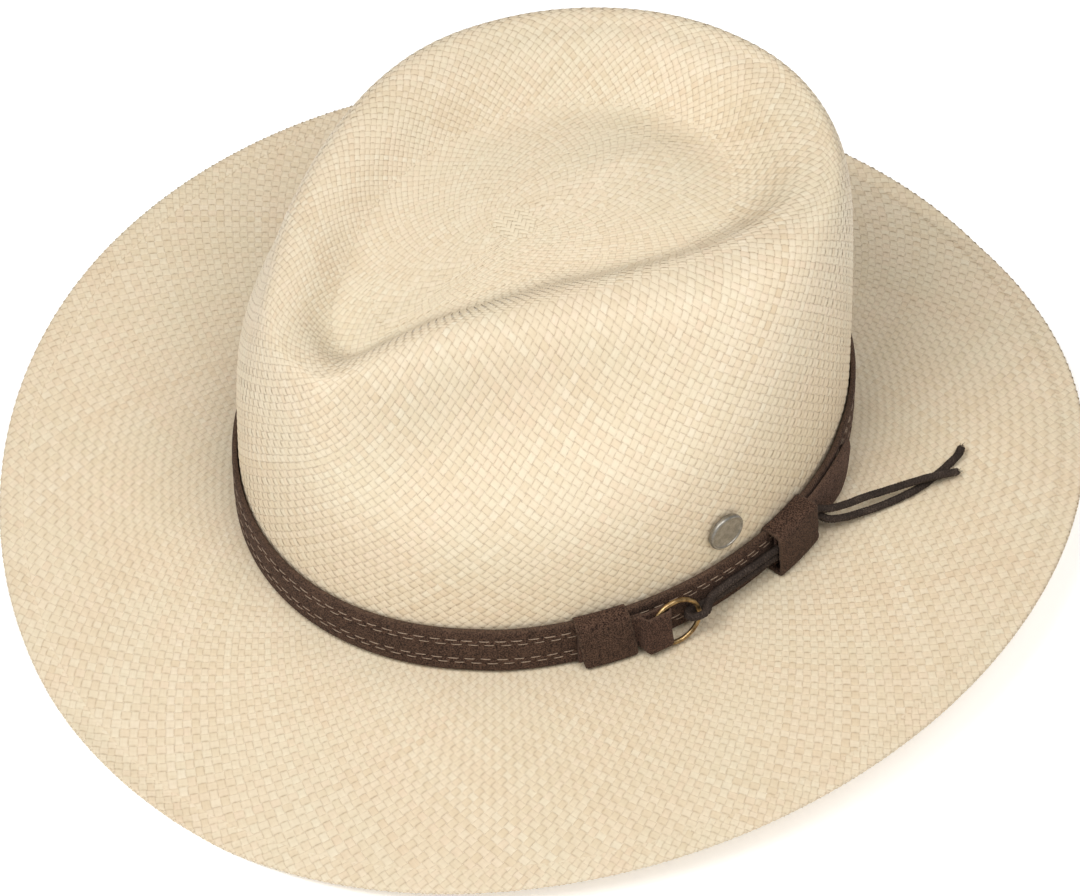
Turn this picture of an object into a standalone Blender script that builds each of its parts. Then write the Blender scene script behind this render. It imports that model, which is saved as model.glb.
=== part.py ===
"""Panama hat with a teardrop crown, a suede band and a side trim of ring, tie cord and two keepers.

Metres, +Z up. Front of the hat is -Y, the wearer's left is +X. The origin is under the middle of the hat, on the
surface that it rests on. The hat stands on the front and back edges of its brim.
"""

import bmesh
import bpy
import numpy as np
from math import cos, pi, sin

# ---------------------------------------------------------------- driving dimensions (metres)
CROWN_A, CROWN_B = 0.1026, 0.0861      # outside of the crown at its foot: half length, half width
FOOT_Z = 0.0180                        # height of the crown's foot (the brim break)
DATUM_Z = 0.0197                       # height from which the crest and the brim edge are given
BRIM_FRONT, BRIM_SIDE, BRIM_BACK = 0.0746, 0.0786, 0.0719
STRAW_T = 0.0012
BAND_H0, BAND_H1, BAND_T = 0.0017, 0.0187, 0.0012      # hat band above the foot, and its thickness
BAND_OFF, BAND_OFF_KEEPER = 0.0005, 0.00110            # band off the straw, and where a keeper passes behind it
THREAD_D, THREAD_GAP = 0.00036, 0.00012
ROWS = (0.0150, 0.0132, 0.0068, 0.0050)                # heights of the four stitch rows
KEEPER_FRONT, KEEPER_REAR, KEEPER_W = -0.0457, 0.0243, 0.0182   # centres along the band from the left side, width
KEEPER_T = 0.0009
RING_S, RING_H, RING_R, RING_WIRE = -0.0241, 0.0100, 0.0080, 0.00155
RING_LEAN = 10.0                                       # degrees, lower edge outwards
CORD_D = 0.0026
BADGE_D, BADGE_T, BADGE_S, BADGE_H = 0.0120, 0.0018, -0.0023, 0.0315
POST_D, POST_HOLE = 0.0011, 0.0019
SWEAT_H, SWEAT_T = 0.0310, 0.0009
REED_D = 0.0016
SEGMENTS = 72

# crest of the crown: across to the wearer's left, to the back, height over the datum (millimetres),
# from the front round by the left side, and from the front round by the right side
CREST_L = [(0, -92.0, 99), (9, -89, 100), (13, -73, 101), (17.5, -54, 102), (26, -34, 103), (36.5, -11, 104),
           (47, 15, 105), (53, 40, 105.5), (49, 65, 105), (30, 82, 104), (0, 89, 103.5)]
CREST_R = [(0, -92.0, 99), (-11, -90, 99), (-21, -84, 100), (-32, -70, 102), (-46, -52, 104), (-57, -29, 106),
           (-63, -2, 107), (-62, 26, 106.5), (-52, 54, 105.5), (-31, 78, 104), (0, 89, 103.5)]
SPINE_F, SPINE_B = (-0.007, -0.058), (-0.004, 0.030)   # the low dome inside the crest runs along this line
SPINE_ZF, SPINE_ZB = 0.0925, 0.0985
PINCH_L, PINCH_R = (0.135, 0.20, 1.0), (0.865, 0.17, 0.55)   # place round the hat, half width, depth


# ---------------------------------------------------------------- the hat's surface
def closed_curve(points):
    p = np.asarray(points, float)
    m = len(p)
    t = np.linspace(0, m, m * 60, endpoint=False)
    i = t.astype(int)
    f = (t - i)[:, None]
    a, b, c, d = p[(i - 1) % m], p[i % m], p[(i + 1) % m], p[(i + 2) % m]
    return 0.5 * (2 * b + (c - a) * f + (2 * a - 5 * b + 4 * c - d) * f**2 + (3 * b - a - 3 * c + d) * f**3)


def along(line, s):
    length = np.r_[0, np.cumsum(np.linalg.norm(np.diff(line, axis=0), axis=1))]
    return np.stack([np.interp(s * length[-1], length, line[:, k]) for k in range(line.shape[1])], 1)


def ellipse(a, b, n=2880):
    t = np.linspace(0, 2 * pi, n + 1)
    return np.stack([b * np.sin(t), -a * np.cos(t)], 1)


def two_halves(left, right, u):
    """u 0 at the front, 0.25 left, 0.5 back, 0.75 right; each half is evenly spaced along its own length."""
    u = np.asarray(u, float) % 1.0
    out = np.empty((len(u), left.shape[1]))
    side = u <= 0.5
    if side.any():
        out[side] = along(left, u[side] * 2)
    if (~side).any():
        out[~side] = along(right, (1 - u[~side]) * 2)
    return out


def bell(u, centre, width):
    d = np.abs((np.asarray(u) - centre + 0.5) % 1.0 - 0.5) / width
    return np.where(d < 1, np.cos(np.minimum(d, 1) * pi / 2) ** 2, 0.0)


E = ellipse(CROWN_A, CROWN_B)
HALF = len(E) // 2
LOOP = CREST_L + CREST_R[-2:0:-1]
CURVE = closed_curve(LOOP) / 1000.0
K_BACK = len(CURVE) * (len(CREST_L) - 1) // len(LOOP)
CREST_LEFT, CREST_RIGHT = CURVE[: K_BACK + 1], np.vstack([CURVE[K_BACK:], CURVE[:1]])[::-1]
PERIMETER = float(np.linalg.norm(np.diff(ellipse(CROWN_A + 0.002, CROWN_B + 0.002), axis=0), axis=1).sum())


def loops(u):
    foot = two_halves(E[: HALF + 1], E[::-1][: HALF + 1], u)
    crest = two_halves(CREST_LEFT, CREST_RIGHT, u)
    return foot, crest, np.arctan2(foot[:, 0] / CROWN_B, -foot[:, 1] / CROWN_A)


def outward(foot):
    n = np.stack([foot[:, 0] / CROWN_B**2, foot[:, 1] / CROWN_A**2], 1)
    return n / np.linalg.norm(n, axis=1)[:, None]


def foot_height(phi):
    return FOOT_Z - 0.0014 * np.cos(2 * phi)


def spline(p, t):
    """Clamped cubic B-spline through rows of control points p (k, n, 3), read at t."""
    k, deg = len(p), 3
    kn = np.r_[[0] * deg, np.arange(k - deg + 1), [k - deg] * deg].astype(float)
    t = np.clip(np.asarray(t, float) * (k - deg), 0, k - deg - 1e-9)
    basis = [np.where((t >= kn[i]) & (t < kn[i + 1]), 1.0, 0.0) for i in range(len(kn) - 1)]
    for d in range(1, deg + 1):
        nxt = []
        for i in range(len(kn) - 1 - d):
            a, b = kn[i + d] - kn[i], kn[i + d + 1] - kn[i + 1]
            v = np.zeros_like(t)
            if a > 0:
                v = v + (t - kn[i]) / a * basis[i]
            if b > 0:
                v = v + (kn[i + d + 1] - t) / b * basis[i + 1]
            nxt.append(v)
        basis = nxt
    return np.einsum("im,inc->mnc", np.array(basis[:k]), p)


def wall(u, t):
    """Side of the crown, t 0 at the foot to 1 at the crest."""
    foot, crest, phi = loops(u)
    zf = foot_height(phi)
    height = crest[:, 2] + DATUM_Z - zf
    base = np.c_[foot, zf]
    d = crest[:, :2] - foot
    w = np.clip(PINCH_L[2] * bell(u, *PINCH_L[:2]) ** 0.8 + PINCH_R[2] * bell(u, *PINCH_R[:2]), 0, 1)[:, None]

    def at(inwards, up):
        return np.c_[base[:, :2] + d * inwards, base[:, 2] + height * up]

    plain = [(0, 0), (0.005, 0.2), (0.03, 0.42), (0.09, 0.64), (0.16, 0.84), (0.34, 0.985), (0.66, 1.02), (1, 1)]
    pinch = [(0, 0), (0.01, 0.18), (0.035, 0.36), (0.11, 0.56), (0.56, 0.64), (0.76, 0.80), (0.79, 0.985), (1, 1)]
    return spline(np.stack([at(*a) * (1 - w) + at(*b) * w for a, b in zip(plain, pinch)]), t)


def top(u, t):
    """Inside of the crest, t 0 at the crest to 1 on the spine of the dome."""
    foot, crest, phi = loops(u)
    c = np.c_[crest[:, :2], crest[:, 2] + DATUM_Z]
    u = np.asarray(u, float)
    k = 0.6 * (0.5 - 0.5 * np.cos(2 * pi * u)) + 0.4 * (1 - np.abs(1 - 2 * u))
    s = np.c_[SPINE_F[0] + (SPINE_B[0] - SPINE_F[0]) * k, SPINE_F[1] + (SPINE_B[1] - SPINE_F[1]) * k,
              DATUM_Z + SPINE_ZF + (SPINE_ZB - SPINE_ZF) * np.sin(k * pi / 2)]
    d = s[:, :2] - c[:, :2]
    run = np.linalg.norm(d, axis=1)
    e = d / run[:, None]
    moat = 0.0075 + 0.0060 * k**1.5

    def at(r, dz):
        return np.c_[c[:, :2] + e * np.asarray(r)[:, None], c[:, 2] + dz]

    r = [np.minimum(a, b * run) for a, b in ((0.007, 0.16), (0.014, 0.32), (0.023, 0.48), (0.034, 0.66))]
    rise = s[:, 2] - c[:, 2]
    p = np.stack([at(0 * run, 0), at(r[0], 0), at(r[1], -moat * 0.55), at(r[2], -moat * 1.1),
                  at(r[3], 0.4 * rise - 0.6 * moat), at(0.86 * run, rise), at(run, rise)])
    return spline(p, t)


def brim(u, t):
    """Upper face of the brim, t 0 at the foot to 1 at the edge. It settles on the table at the front and back."""
    foot, crest, phi = loops(u)
    zf = foot_height(phi)
    w = (BRIM_SIDE + (BRIM_FRONT - BRIM_SIDE) * np.clip(np.cos(phi), 0, 1) ** 2
         + (BRIM_BACK - BRIM_SIDE) * np.clip(-np.cos(phi), 0, 1) ** 2 - 0.0003 * np.cos(4 * phi))
    edge = (DATUM_Z - 0.0084 - 0.0101 * np.cos(2 * phi) - 0.0015 * np.cos(4 * phi)
            + 0.0030 * np.sin(phi) - 0.0036 * np.sin(2 * phi))
    t = np.asarray(t, float)[:, None]
    xy = foot[None] + outward(foot)[None] * (w[None] * t)[..., None]
    s = 0.45 * t + 0.55 * t**1.6
    z = np.maximum(zf[None] * (1 - s) + edge[None] * s, STRAW_T)
    return np.concatenate([xy, z[..., None]], 2)


def on_wall(u, h, off):
    """Points beside the crown wall: height h above the foot, off outwards from the straw."""
    u = np.atleast_1d(np.asarray(u, float))
    grid = wall(u, np.linspace(0, 0.75, 60))
    foot, crest, phi = loops(u)
    zf, n = foot_height(phi), outward(foot)
    h = np.broadcast_to(np.asarray(h, float), u.shape)
    off = np.broadcast_to(np.asarray(off, float), u.shape)
    out = np.empty((len(u), 3))
    for j in range(len(u)):
        z = grid[:, j, 2] - zf[j]
        k = np.maximum.accumulate(z)
        x, y = np.interp(max(h[j], 0), k, grid[:, j, 0]), np.interp(max(h[j], 0), k, grid[:, j, 1])
        out[j] = x + n[j, 0] * off[j], y + n[j, 1] * off[j], zf[j] + h[j]
    return out


def at_band(s, h, off):
    """The same, by the distance s along the band from the middle of the left side, positive to the back."""
    return on_wall(0.25 + np.atleast_1d(np.asarray(s, float)) / PERIMETER, h, off)


def band_offset(s):
    """How far the band stands off the straw."""
    s = (np.asarray(s, float) + PERIMETER / 2) % PERIMETER - PERIMETER / 2
    beyond = np.maximum(KEEPER_FRONT - KEEPER_W / 2 - s, s - KEEPER_REAR - KEEPER_W / 2)
    d = np.clip((beyond - 0.020) / 0.014, 0, 1)
    near = 1 - d * d * (3 - 2 * d)
    return BAND_OFF + (BAND_OFF_KEEPER - BAND_OFF) * near


# ---------------------------------------------------------------- making solids
for old in list(bpy.data.objects):
    bpy.data.objects.remove(old)


def material(name, colour, rough, metal=0.0):
    m = bpy.data.materials.new(name)
    m.use_nodes = True
    b = m.node_tree.nodes["Principled BSDF"]
    b.inputs["Base Color"].default_value = (*colour, 1)
    b.inputs["Roughness"].default_value = rough
    b.inputs["Metallic"].default_value = metal
    return m


STRAW = material("straw", (0.83, 0.72, 0.52), 0.7)
SUEDE = material("suede", (0.075, 0.045, 0.033), 0.95)
THREAD = material("thread", (0.30, 0.23, 0.17), 0.8)
BRASS = material("brass", (0.45, 0.33, 0.14), 0.35, 1.0)
CORD = material("cord", (0.06, 0.042, 0.038), 0.8)
PEWTER = material("pewter", (0.42, 0.41, 0.38), 0.4, 1.0)
COTTON = material("cotton", (0.10, 0.075, 0.06), 0.9)
PLASTIC = material("plastic", (0.75, 0.72, 0.66), 0.5)


def add(name, verts, faces, mat, smooth=35, parent=None, origin=None):
    verts = np.asarray(verts, float)
    if origin is None:
        origin = np.zeros(3)
    me = bpy.data.meshes.new(name)
    me.from_pydata((verts - np.asarray(origin)).tolist(), [], [list(map(int, f)) for f in faces])
    bm = bmesh.new()
    bm.from_mesh(me)
    bmesh.ops.remove_doubles(bm, verts=bm.verts, dist=1e-6)
    bmesh.ops.recalc_face_normals(bm, faces=bm.faces)
    if bm.calc_volume(signed=True) < 0:
        bmesh.ops.reverse_faces(bm, faces=bm.faces)
    bm.to_mesh(me)
    bm.free()
    me.materials.append(mat)
    if smooth:
        me.shade_smooth()
        me.set_sharp_from_angle(angle=smooth * pi / 180)
    o = bpy.data.objects.new(name, me)
    bpy.context.collection.objects.link(o)
    o.location = origin
    if parent:
        o.parent = parent
        o.location = (0, 0, 0)
    return o


def around(rings_):
    """Faces of a closed band made of closed rings of equal length; the last ring joins the first."""
    m, n = len(rings_), len(rings_[0])
    return np.vstack(rings_), [[i * n + j, i * n + (j + 1) % n, (i + 1) % m * n + (j + 1) % n, (i + 1) % m * n + j]
                               for i in range(m) for j in range(n)]


def swept(sections):
    """A solid through closed sections, with both ends capped."""
    m, n = len(sections), len(sections[0])
    faces = [[i * n + j, i * n + (j + 1) % n, (i + 1) * n + (j + 1) % n, (i + 1) * n + j]
             for i in range(m - 1) for j in range(n)]
    faces += [list(range(n))[::-1], [(m - 1) * n + j for j in range(n)]]
    return np.vstack(sections), faces


U = np.arange(SEGMENTS) / SEGMENTS
S = (U - 0.25) * PERIMETER

# ---------------------------------------------------------------- straw body: crown and brim in one shell
t_brim = np.array([1.0, 0.955, 0.86, 0.70, 0.50, 0.28, 0.10])
t_wall = np.array([0.0, 0.115, 0.235, 0.34, 0.44, 0.53, 0.62, 0.72, 0.82, 0.91, 1.0])
t_top = np.array([0.16, 0.32, 0.47, 0.62, 0.80, 0.975])
outer = np.concatenate([brim(U, t_brim), wall(U, t_wall), top(U, t_top)], 0)
nb = len(t_brim)
du = np.roll(outer, -1, 1) - np.roll(outer, 1, 1)
dt = np.gradient(outer, axis=0)
normal = np.cross(dt, du)
normal /= np.linalg.norm(normal, axis=2)[..., None]
if normal[-1, 0, 2] < 0:
    normal = -normal
inner = outer - normal * STRAW_T
inner[:nb] = outer[:nb] - [0, 0, STRAW_T]
n_foot = outward(loops(U)[0])
inner[nb] = outer[nb] - np.c_[n_foot, np.ones(len(U))] * STRAW_T
rows, n = len(outer), SEGMENTS
grid = lambda base, i, j: base + i * n + j % n
V = np.vstack([outer.reshape(-1, 3), inner.reshape(-1, 3)])
off_in = rows * n
F = []
for i in range(rows - 1):
    for j in range(n):
        F.append([grid(0, i, j), grid(0, i, j + 1), grid(0, i + 1, j + 1), grid(0, i + 1, j)])
        F.append([grid(off_in, i + 1, j), grid(off_in, i + 1, j + 1), grid(off_in, i, j + 1), grid(off_in, i, j)])
for j in range(n):
    F.append([grid(off_in, 0, j), grid(off_in, 0, j + 1), grid(0, 0, j + 1), grid(0, 0, j)])
for a in range(0, n // 2):      # the slit over the spine, closed from side to side
    q = [(rows - 1) * n + a % n, (rows - 1) * n + (a + 1) % n, (rows - 1) * n + (n - a - 1) % n, (rows - 1) * n + (n - a) % n]
    q = list(dict.fromkeys(q))
    F.append(q)
    F.append([off_in + k for k in q[::-1]])
straw = add("straw_body", V, F, STRAW, 40)

# hole for the badge's post
badge_mid = at_band(BADGE_S, BADGE_H, 0)[0]
low, high = at_band(BADGE_S, BADGE_H - 0.006, 0)[0], at_band(BADGE_S, BADGE_H + 0.006, 0)[0]
side_a, side_b = at_band(BADGE_S - 0.006, BADGE_H, 0)[0], at_band(BADGE_S + 0.006, BADGE_H, 0)[0]
up_dir = (high - low) / np.linalg.norm(high - low)
badge_n = np.cross(side_b - side_a, up_dir)
badge_n /= np.linalg.norm(badge_n)
if badge_n[0] < 0:
    badge_n = -badge_n
badge_side = np.cross(up_dir, badge_n)


def disc_frame(axis, side, centre, radius, lift, n=24, turn=0.0):
    up = np.cross(axis, side)
    return [centre + axis * lift + radius * (cos(2 * pi * k / n + turn) * side + sin(2 * pi * k / n + turn) * up) for k in range(n)]


def turned(axis, side, centre, profile, n=24):
    """A solid turned about an axis: profile of (radius, lift) from the back centre to the front centre."""
    verts, faces = [], []
    for r, lift in profile:
        verts += disc_frame(axis, side, centre, r, lift, n)
    m = len(profile)
    for i in range(m - 1):
        for j in range(n):
            faces.append([i * n + j, i * n + (j + 1) % n, (i + 1) * n + (j + 1) % n, (i + 1) * n + j])
    faces += [list(range(n))[::-1], [(m - 1) * n + j for j in range(n)]]
    return np.array(verts), faces


cut_v, cut_f = turned(badge_n, badge_side, badge_mid, [(POST_HOLE / 2, -0.006), (POST_HOLE / 2, 0.006)], 16)
cutter = add("post_hole_cutter", cut_v, cut_f, STRAW, 0)
cutter.hide_render = True
cutter.display_type = "WIRE"
hole = straw.modifiers.new("post_hole", "BOOLEAN")
hole.operation = "DIFFERENCE"
hole.solver = "EXACT"
hole.object = cutter

# ---------------------------------------------------------------- hat band and its four stitch rows
off = band_offset(S)
v, f = around([on_wall(U, BAND_H0, off), on_wall(U, BAND_H1, off), on_wall(U, BAND_H1, off + BAND_T), on_wall(U, BAND_H0, off + BAND_T)])
add("hat_band", v, f, SUEDE, 30)
for k, h in enumerate(ROWS):
    c = off + BAND_T + THREAD_GAP + THREAD_D / 2
    r = THREAD_D / 2
    v, f = around([on_wall(U, h + r * cos(a), c + r * sin(a)) for a in (0, pi / 2, pi, 3 * pi / 2)])
    add("band_thread_%d" % (k + 1), v, f, THREAD, 60)


# ---------------------------------------------------------------- leather pieces of the trim
def rounded(points, radius, n=3):
    """A closed outline with its corners rounded."""
    p = [np.array(q, float) for q in points]
    out = []
    for i, c in enumerate(p):
        a, b = p[i - 1] - c, p[(i + 1) % len(p)] - c
        r = min(radius, 0.45 * np.linalg.norm(a), 0.45 * np.linalg.norm(b))
        a, b = c + a / np.linalg.norm(a) * r, c + b / np.linalg.norm(b) * r
        for t in np.linspace(0, 1, n + 1):
            out.append((1 - t) ** 2 * a + 2 * t * (1 - t) * c + t * t * b)
    return out


def keeper(name, centre, front_top, front_low, shear, pivot):
    """A loop of suede: behind the band, over its top edge, in front of everything under it, and back below."""
    top_h, low_h = BAND_H1 + 0.00035, BAND_H0 - 0.0003
    back = BAND_OFF_KEEPER - 0.0003
    inner_line = rounded([(back, low_h), (back, top_h), (front_top, top_h), (front_low, low_h)], 0.0006)
    t = KEEPER_T
    outer_line = rounded([(back - 0.0005, low_h - t), (back - 0.0005, top_h + t), (front_top + t, top_h + t), (front_low + t, low_h - t)], 0.0014)
    cols = []
    for s in np.linspace(-KEEPER_W / 2, KEEPER_W / 2, 4):
        ring_ = []
        for line in (outer_line, inner_line):
            for o, h in line:
                ring_.append(at_band(centre + s + shear * (h - 0.0102), h, o)[0])
        cols.append(np.array(ring_))
    k, m = len(outer_line), len(cols)
    n_ = 2 * k
    verts = np.vstack(cols)
    faces = []
    for i in range(m - 1):
        for j in range(k):
            a, b = j, (j + 1) % k
            faces.append([i * n_ + a, i * n_ + b, (i + 1) * n_ + b, (i + 1) * n_ + a])
            faces.append([(i + 1) * n_ + k + a, (i + 1) * n_ + k + b, i * n_ + k + b, i * n_ + k + a])
    for i in (0, m - 1):
        for j in range(k):
            a, b = j, (j + 1) % k
            q = [i * n_ + a, i * n_ + k + a, i * n_ + k + b, i * n_ + b]
            faces.append(q if i == 0 else q[::-1])
    return add(name, verts, faces, SUEDE, 40, parent=None, origin=pivot)


def curvature_centre(s):
    """Centre of the circle that the band follows at s, at the foot's height."""
    p = [at_band(s + d, 0.0, 0.0)[0][:2] for d in (-0.008, 0.0, 0.008)]
    (ax, ay), (bx, by), (cx, cy) = p
    d = 2 * (ax * (by - cy) + bx * (cy - ay) + cx * (ay - by))
    ux = ((ax**2 + ay**2) * (by - cy) + (bx**2 + by**2) * (cy - ay) + (cx**2 + cy**2) * (ay - by)) / d
    uy = ((ax**2 + ay**2) * (cx - bx) + (bx**2 + by**2) * (ax - cx) + (cx**2 + cy**2) * (bx - ax)) / d
    return np.array([ux, uy, FOOT_Z])


# layers over the band in the trim, outwards from the straw
LEAF = 0.00075
THREADS_OUT = BAND_OFF_KEEPER + BAND_T + THREAD_GAP + THREAD_D
LEAF1 = THREADS_OUT + 0.0002
LEAF2 = LEAF1 + LEAF + 0.00018
FRONT_FACE = LEAF2 + LEAF + 0.0002
keeper("front_keeper", KEEPER_FRONT, FRONT_FACE, FRONT_FACE + 0.0006, -0.14, curvature_centre(KEEPER_FRONT))

# the ring's plane: along the band, its lower edge leaning a little outwards
TAB_H0, TAB_H1 = 0.0032, 0.0168
TAB_END, TAB_FOLD = -0.0545, -0.0300
LEAN = np.tan(RING_LEAN * pi / 180)
POCKET = LEAF1 + 0.0002 + LEAN * (TAB_H1 - RING_H)       # inner leaf at the ring, at the ring's mid height
ring_mid_off = POCKET + LEAF + (RING_WIRE + 0.0007) / 2
rc = at_band(RING_S, RING_H, ring_mid_off)[0]
tang = at_band(RING_S + 0.004, RING_H, 0)[0] - at_band(RING_S - 0.004, RING_H, 0)[0]
tang[2] = 0
tang /= np.linalg.norm(tang)
out_n = np.array([tang[1], -tang[0], 0.0])
out_n = out_n if out_n[0] > 0 else -out_n
lean_a = RING_LEAN * pi / 180
ring_axis = out_n * cos(lean_a) + np.array([0, 0, sin(lean_a)])
ring_up = np.cross(ring_axis, tang)


def ring_plane(s, h):
    """How far off the straw the ring's plane is, at distance s along the band and height h."""
    near, far = at_band(s, h, 0)[0], at_band(s, h, 0.004)[0]
    return float(0.004 * np.dot(rc - near, ring_axis) / np.dot(far - near, ring_axis))


# ring tab: a strip folded round the ring, its two leaves pressed together under the front keeper
def tab_section(h, outer_side):
    """The tab's outline at height h, as points (s, off) from the inner leaf's end round the fold to the outer leaf's end."""
    rad = (RING_WIRE + 0.0007) / 2 + (LEAF if outer_side else 0.0)

    def blend(s):
        k = np.clip((s + 0.0357) / 0.0022, 0, 1)
        return k * k * (3 - 2 * k)

    low = LEAF1 + (0.0 if outer_side else LEAF)
    high = LEAF2 + (LEAF if outer_side else 0.0)
    stations = (TAB_END, -0.0460, -0.0357, -0.0346, -0.0335)
    line = [(s, low * (1 - blend(s)) + (ring_plane(s, h) - rad) * blend(s)) for s in stations]
    chord = (RING_R**2 - min(abs(h - RING_H) / cos(lean_a), 0.99 * RING_R) ** 2) ** 0.5
    fold = max(TAB_FOLD, RING_S - chord + RING_WIRE / 2 * (RING_R / chord - 1) + 0.0004)
    line += [(fold + rad * cos(a), ring_plane(fold, h) + rad * sin(a)) for a in np.linspace(-pi / 2, pi / 2, 7)]
    line += [(s, high * (1 - blend(s)) + (ring_plane(s, h) + rad) * blend(s)) for s in stations[::-1]]
    return line


cols = []
for h in np.linspace(TAB_H0, TAB_H1, 5):
    line = tab_section(h, True) + tab_section(h, False)[::-1]
    cols.append(np.array([at_band(s, h, o)[0] for s, o in line]))
v, f = swept(cols)
add("ring_tab", v, f, SUEDE, 40)

# ring: round wire
verts, faces = [], []
NR, NS = 40, 8
for i in range(NR):
    a = 2 * pi * i / NR
    d = cos(a) * tang + sin(a) * ring_up
    for j in range(NS):
        b = 2 * pi * j / NS
        verts.append(rc + d * (RING_R + RING_WIRE / 2 * cos(b)) + ring_axis * (RING_WIRE / 2 * sin(b)))
for i in range(NR):
    for j in range(NS):
        faces.append([i * NS + j, i * NS + (j + 1) % NS, (i + 1) % NR * NS + (j + 1) % NS, (i + 1) % NR * NS + j])
add("ring", verts, faces, BRASS, 60, origin=rc)

# band tail: the smooth outer end of the band, held by the rear keeper and standing off behind it
TAIL_T = 0.0009
TAIL_IN = THREADS_OUT + 0.0002
tail = []
for s, lift, h0, h1 in ((0.0170, 0.0, 0.0026, 0.0172), (0.0260, 0.0, 0.0026, 0.0172), (0.0350, 0.0, 0.0026, 0.0172),
                        (0.0400, 0.0003, 0.0024, 0.0172), (0.0460, 0.0009, 0.0022, 0.0172), (0.0520, 0.0013, 0.0022, 0.0170),
                        (0.0570, 0.0012, 0.0030, 0.0166), (0.0610, 0.0008, 0.0052, 0.0160), (0.0640, 0.0004, 0.0090, 0.0150)):
    o = TAIL_IN + lift
    tail.append(np.vstack([at_band(s, h, o)[0] for h in (h0, (h0 + h1) / 2, h1)] + [at_band(s, h, o + TAIL_T)[0] for h in (h1, (h0 + h1) / 2, h0)]))
v, f = swept(tail)
add("band_tail", v, f, SUEDE, 40)

# ---------------------------------------------------------------- tie cord
CR = CORD_D / 2
CORD_ON_TAIL = TAIL_IN + TAIL_T + 0.0002 + CR
CORD_ON_BAND = BAND_OFF_KEEPER + BAND_T + 0.00025 + CR
rear_front = CORD_ON_TAIL + CR + 0.0002
keeper("rear_keeper", KEEPER_REAR, rear_front, rear_front + 0.0002, -0.08, curvature_centre(KEEPER_REAR))
WIRE_OFF = ring_mid_off + 0.00025
EXIT_S = KEEPER_REAR + KEEPER_W / 2 + 0.0009


def smooth_path(points, n):
    """A smooth curve through points, as n points evenly spaced along it."""
    p = np.asarray(points, float)
    q = np.vstack([2 * p[0] - p[1], p, 2 * p[-1] - p[-2]])
    out = []
    for i in range(1, len(q) - 2):
        for t in np.linspace(0, 1, 40, endpoint=False):
            a, b, c, d = q[i - 1], q[i], q[i + 1], q[i + 2]
            out.append(0.5 * (2 * b + (c - a) * t + (2 * a - 5 * b + 4 * c - d) * t**2 + (3 * b - a - 3 * c + d) * t**3))
    out.append(p[-1])
    return along(np.array(out), np.linspace(0, 1, n))


def cord(name, points, n):
    cu = bpy.data.curves.new(name, "CURVE")
    cu.dimensions = "3D"
    cu.bevel_depth = CR
    cu.bevel_resolution = 2
    cu.use_fill_caps = True
    cu.resolution_u = 1
    cu.render_resolution_u = 0
    cu.twist_mode = "MINIMUM"
    sp = cu.splines.new("POLY")
    pts = smooth_path(points, n)
    sp.points.add(len(pts) - 1)
    for q, p in zip(sp.points, pts):
        q.co = (*p, 1)
    cu.materials.append(CORD)
    o = bpy.data.objects.new(name, cu)
    bpy.context.collection.objects.link(o)
    return o


back_off = max(WIRE_OFF - RING_WIRE / 2 - 0.0002 - CR, CORD_ON_BAND)
front_off = WIRE_OFF + RING_WIRE / 2 + 0.0002 + CR
wire_s = RING_S + RING_R
held = [(EXIT_S, 0.0126, CORD_ON_TAIL), (0.0260, 0.0123, CORD_ON_TAIL), (0.0190, 0.0119, CORD_ON_TAIL),
        (0.0130, 0.0116, CORD_ON_TAIL - 0.0010), (0.0070, 0.0114, CORD_ON_BAND + 0.0002), (0.0000, 0.0114, CORD_ON_BAND), (-0.0060, 0.0114, CORD_ON_BAND + 0.0003),
        (-0.0112, 0.0115, CORD_ON_BAND + 0.0014), (wire_s + 0.0006, 0.0114, front_off), (wire_s - 0.0026, 0.0109, front_off - 0.0004),
        (wire_s - 0.0038, 0.0101, (front_off + back_off) / 2), (wire_s - 0.0026, 0.0092, back_off + 0.0001),
        (wire_s + 0.0008, 0.0087, back_off - 0.0002), (-0.0112, 0.0086, CORD_ON_BAND + 0.0002), (-0.0060, 0.0086, CORD_ON_BAND), (0.0000, 0.0086, CORD_ON_BAND),
        (0.0070, 0.0086, CORD_ON_BAND + 0.0002), (0.0130, 0.0087, CORD_ON_TAIL - 0.0010), (0.0190, 0.0089, CORD_ON_TAIL), (0.0260, 0.0092, CORD_ON_TAIL), (EXIT_S, 0.0095, CORD_ON_TAIL)]
cord("tie_cord", [at_band(s, h, o)[0] for s, h, o in held], 80)


tail_u = [at_band(EXIT_S + 0.0005, 0.0126, CORD_ON_TAIL)[0], at_band(EXIT_S + 0.0022, 0.0125, CORD_ON_TAIL + 0.0005)[0]]
for x, y, z in ((0.0877, 0.0400, 0.0303), (0.0882, 0.0470, 0.0275), (0.0886, 0.0550, 0.0252), (0.0902, 0.0617, 0.0243),
                (0.0928, 0.0700, 0.0241), (0.0954, 0.0774, 0.0239), (0.0974, 0.0860, 0.0213)):
    tail_u.append(np.array([x, y, z]))
tail_l = [at_band(EXIT_S + 0.0005, 0.0095, CORD_ON_TAIL)[0], at_band(EXIT_S + 0.0022, 0.0092, CORD_ON_TAIL + 0.0005)[0]]
for x, y, z in ((0.0886, 0.0392, 0.0268), (0.0898, 0.0450, 0.0242), (0.0908, 0.0525, 0.0220), (0.0922, 0.0600, 0.0210),
                (0.0939, 0.0691, 0.02095), (0.0942, 0.0766, 0.02090), (0.0934, 0.0847, 0.0207), (0.0922, 0.0915, 0.0207), (0.0910, 0.0940, 0.0212)):
    tail_l.append(np.array([x, y, z]))
cord("cord_tail_upper", tail_u, 24)
cord("cord_tail_lower", tail_l, 26)

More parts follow.
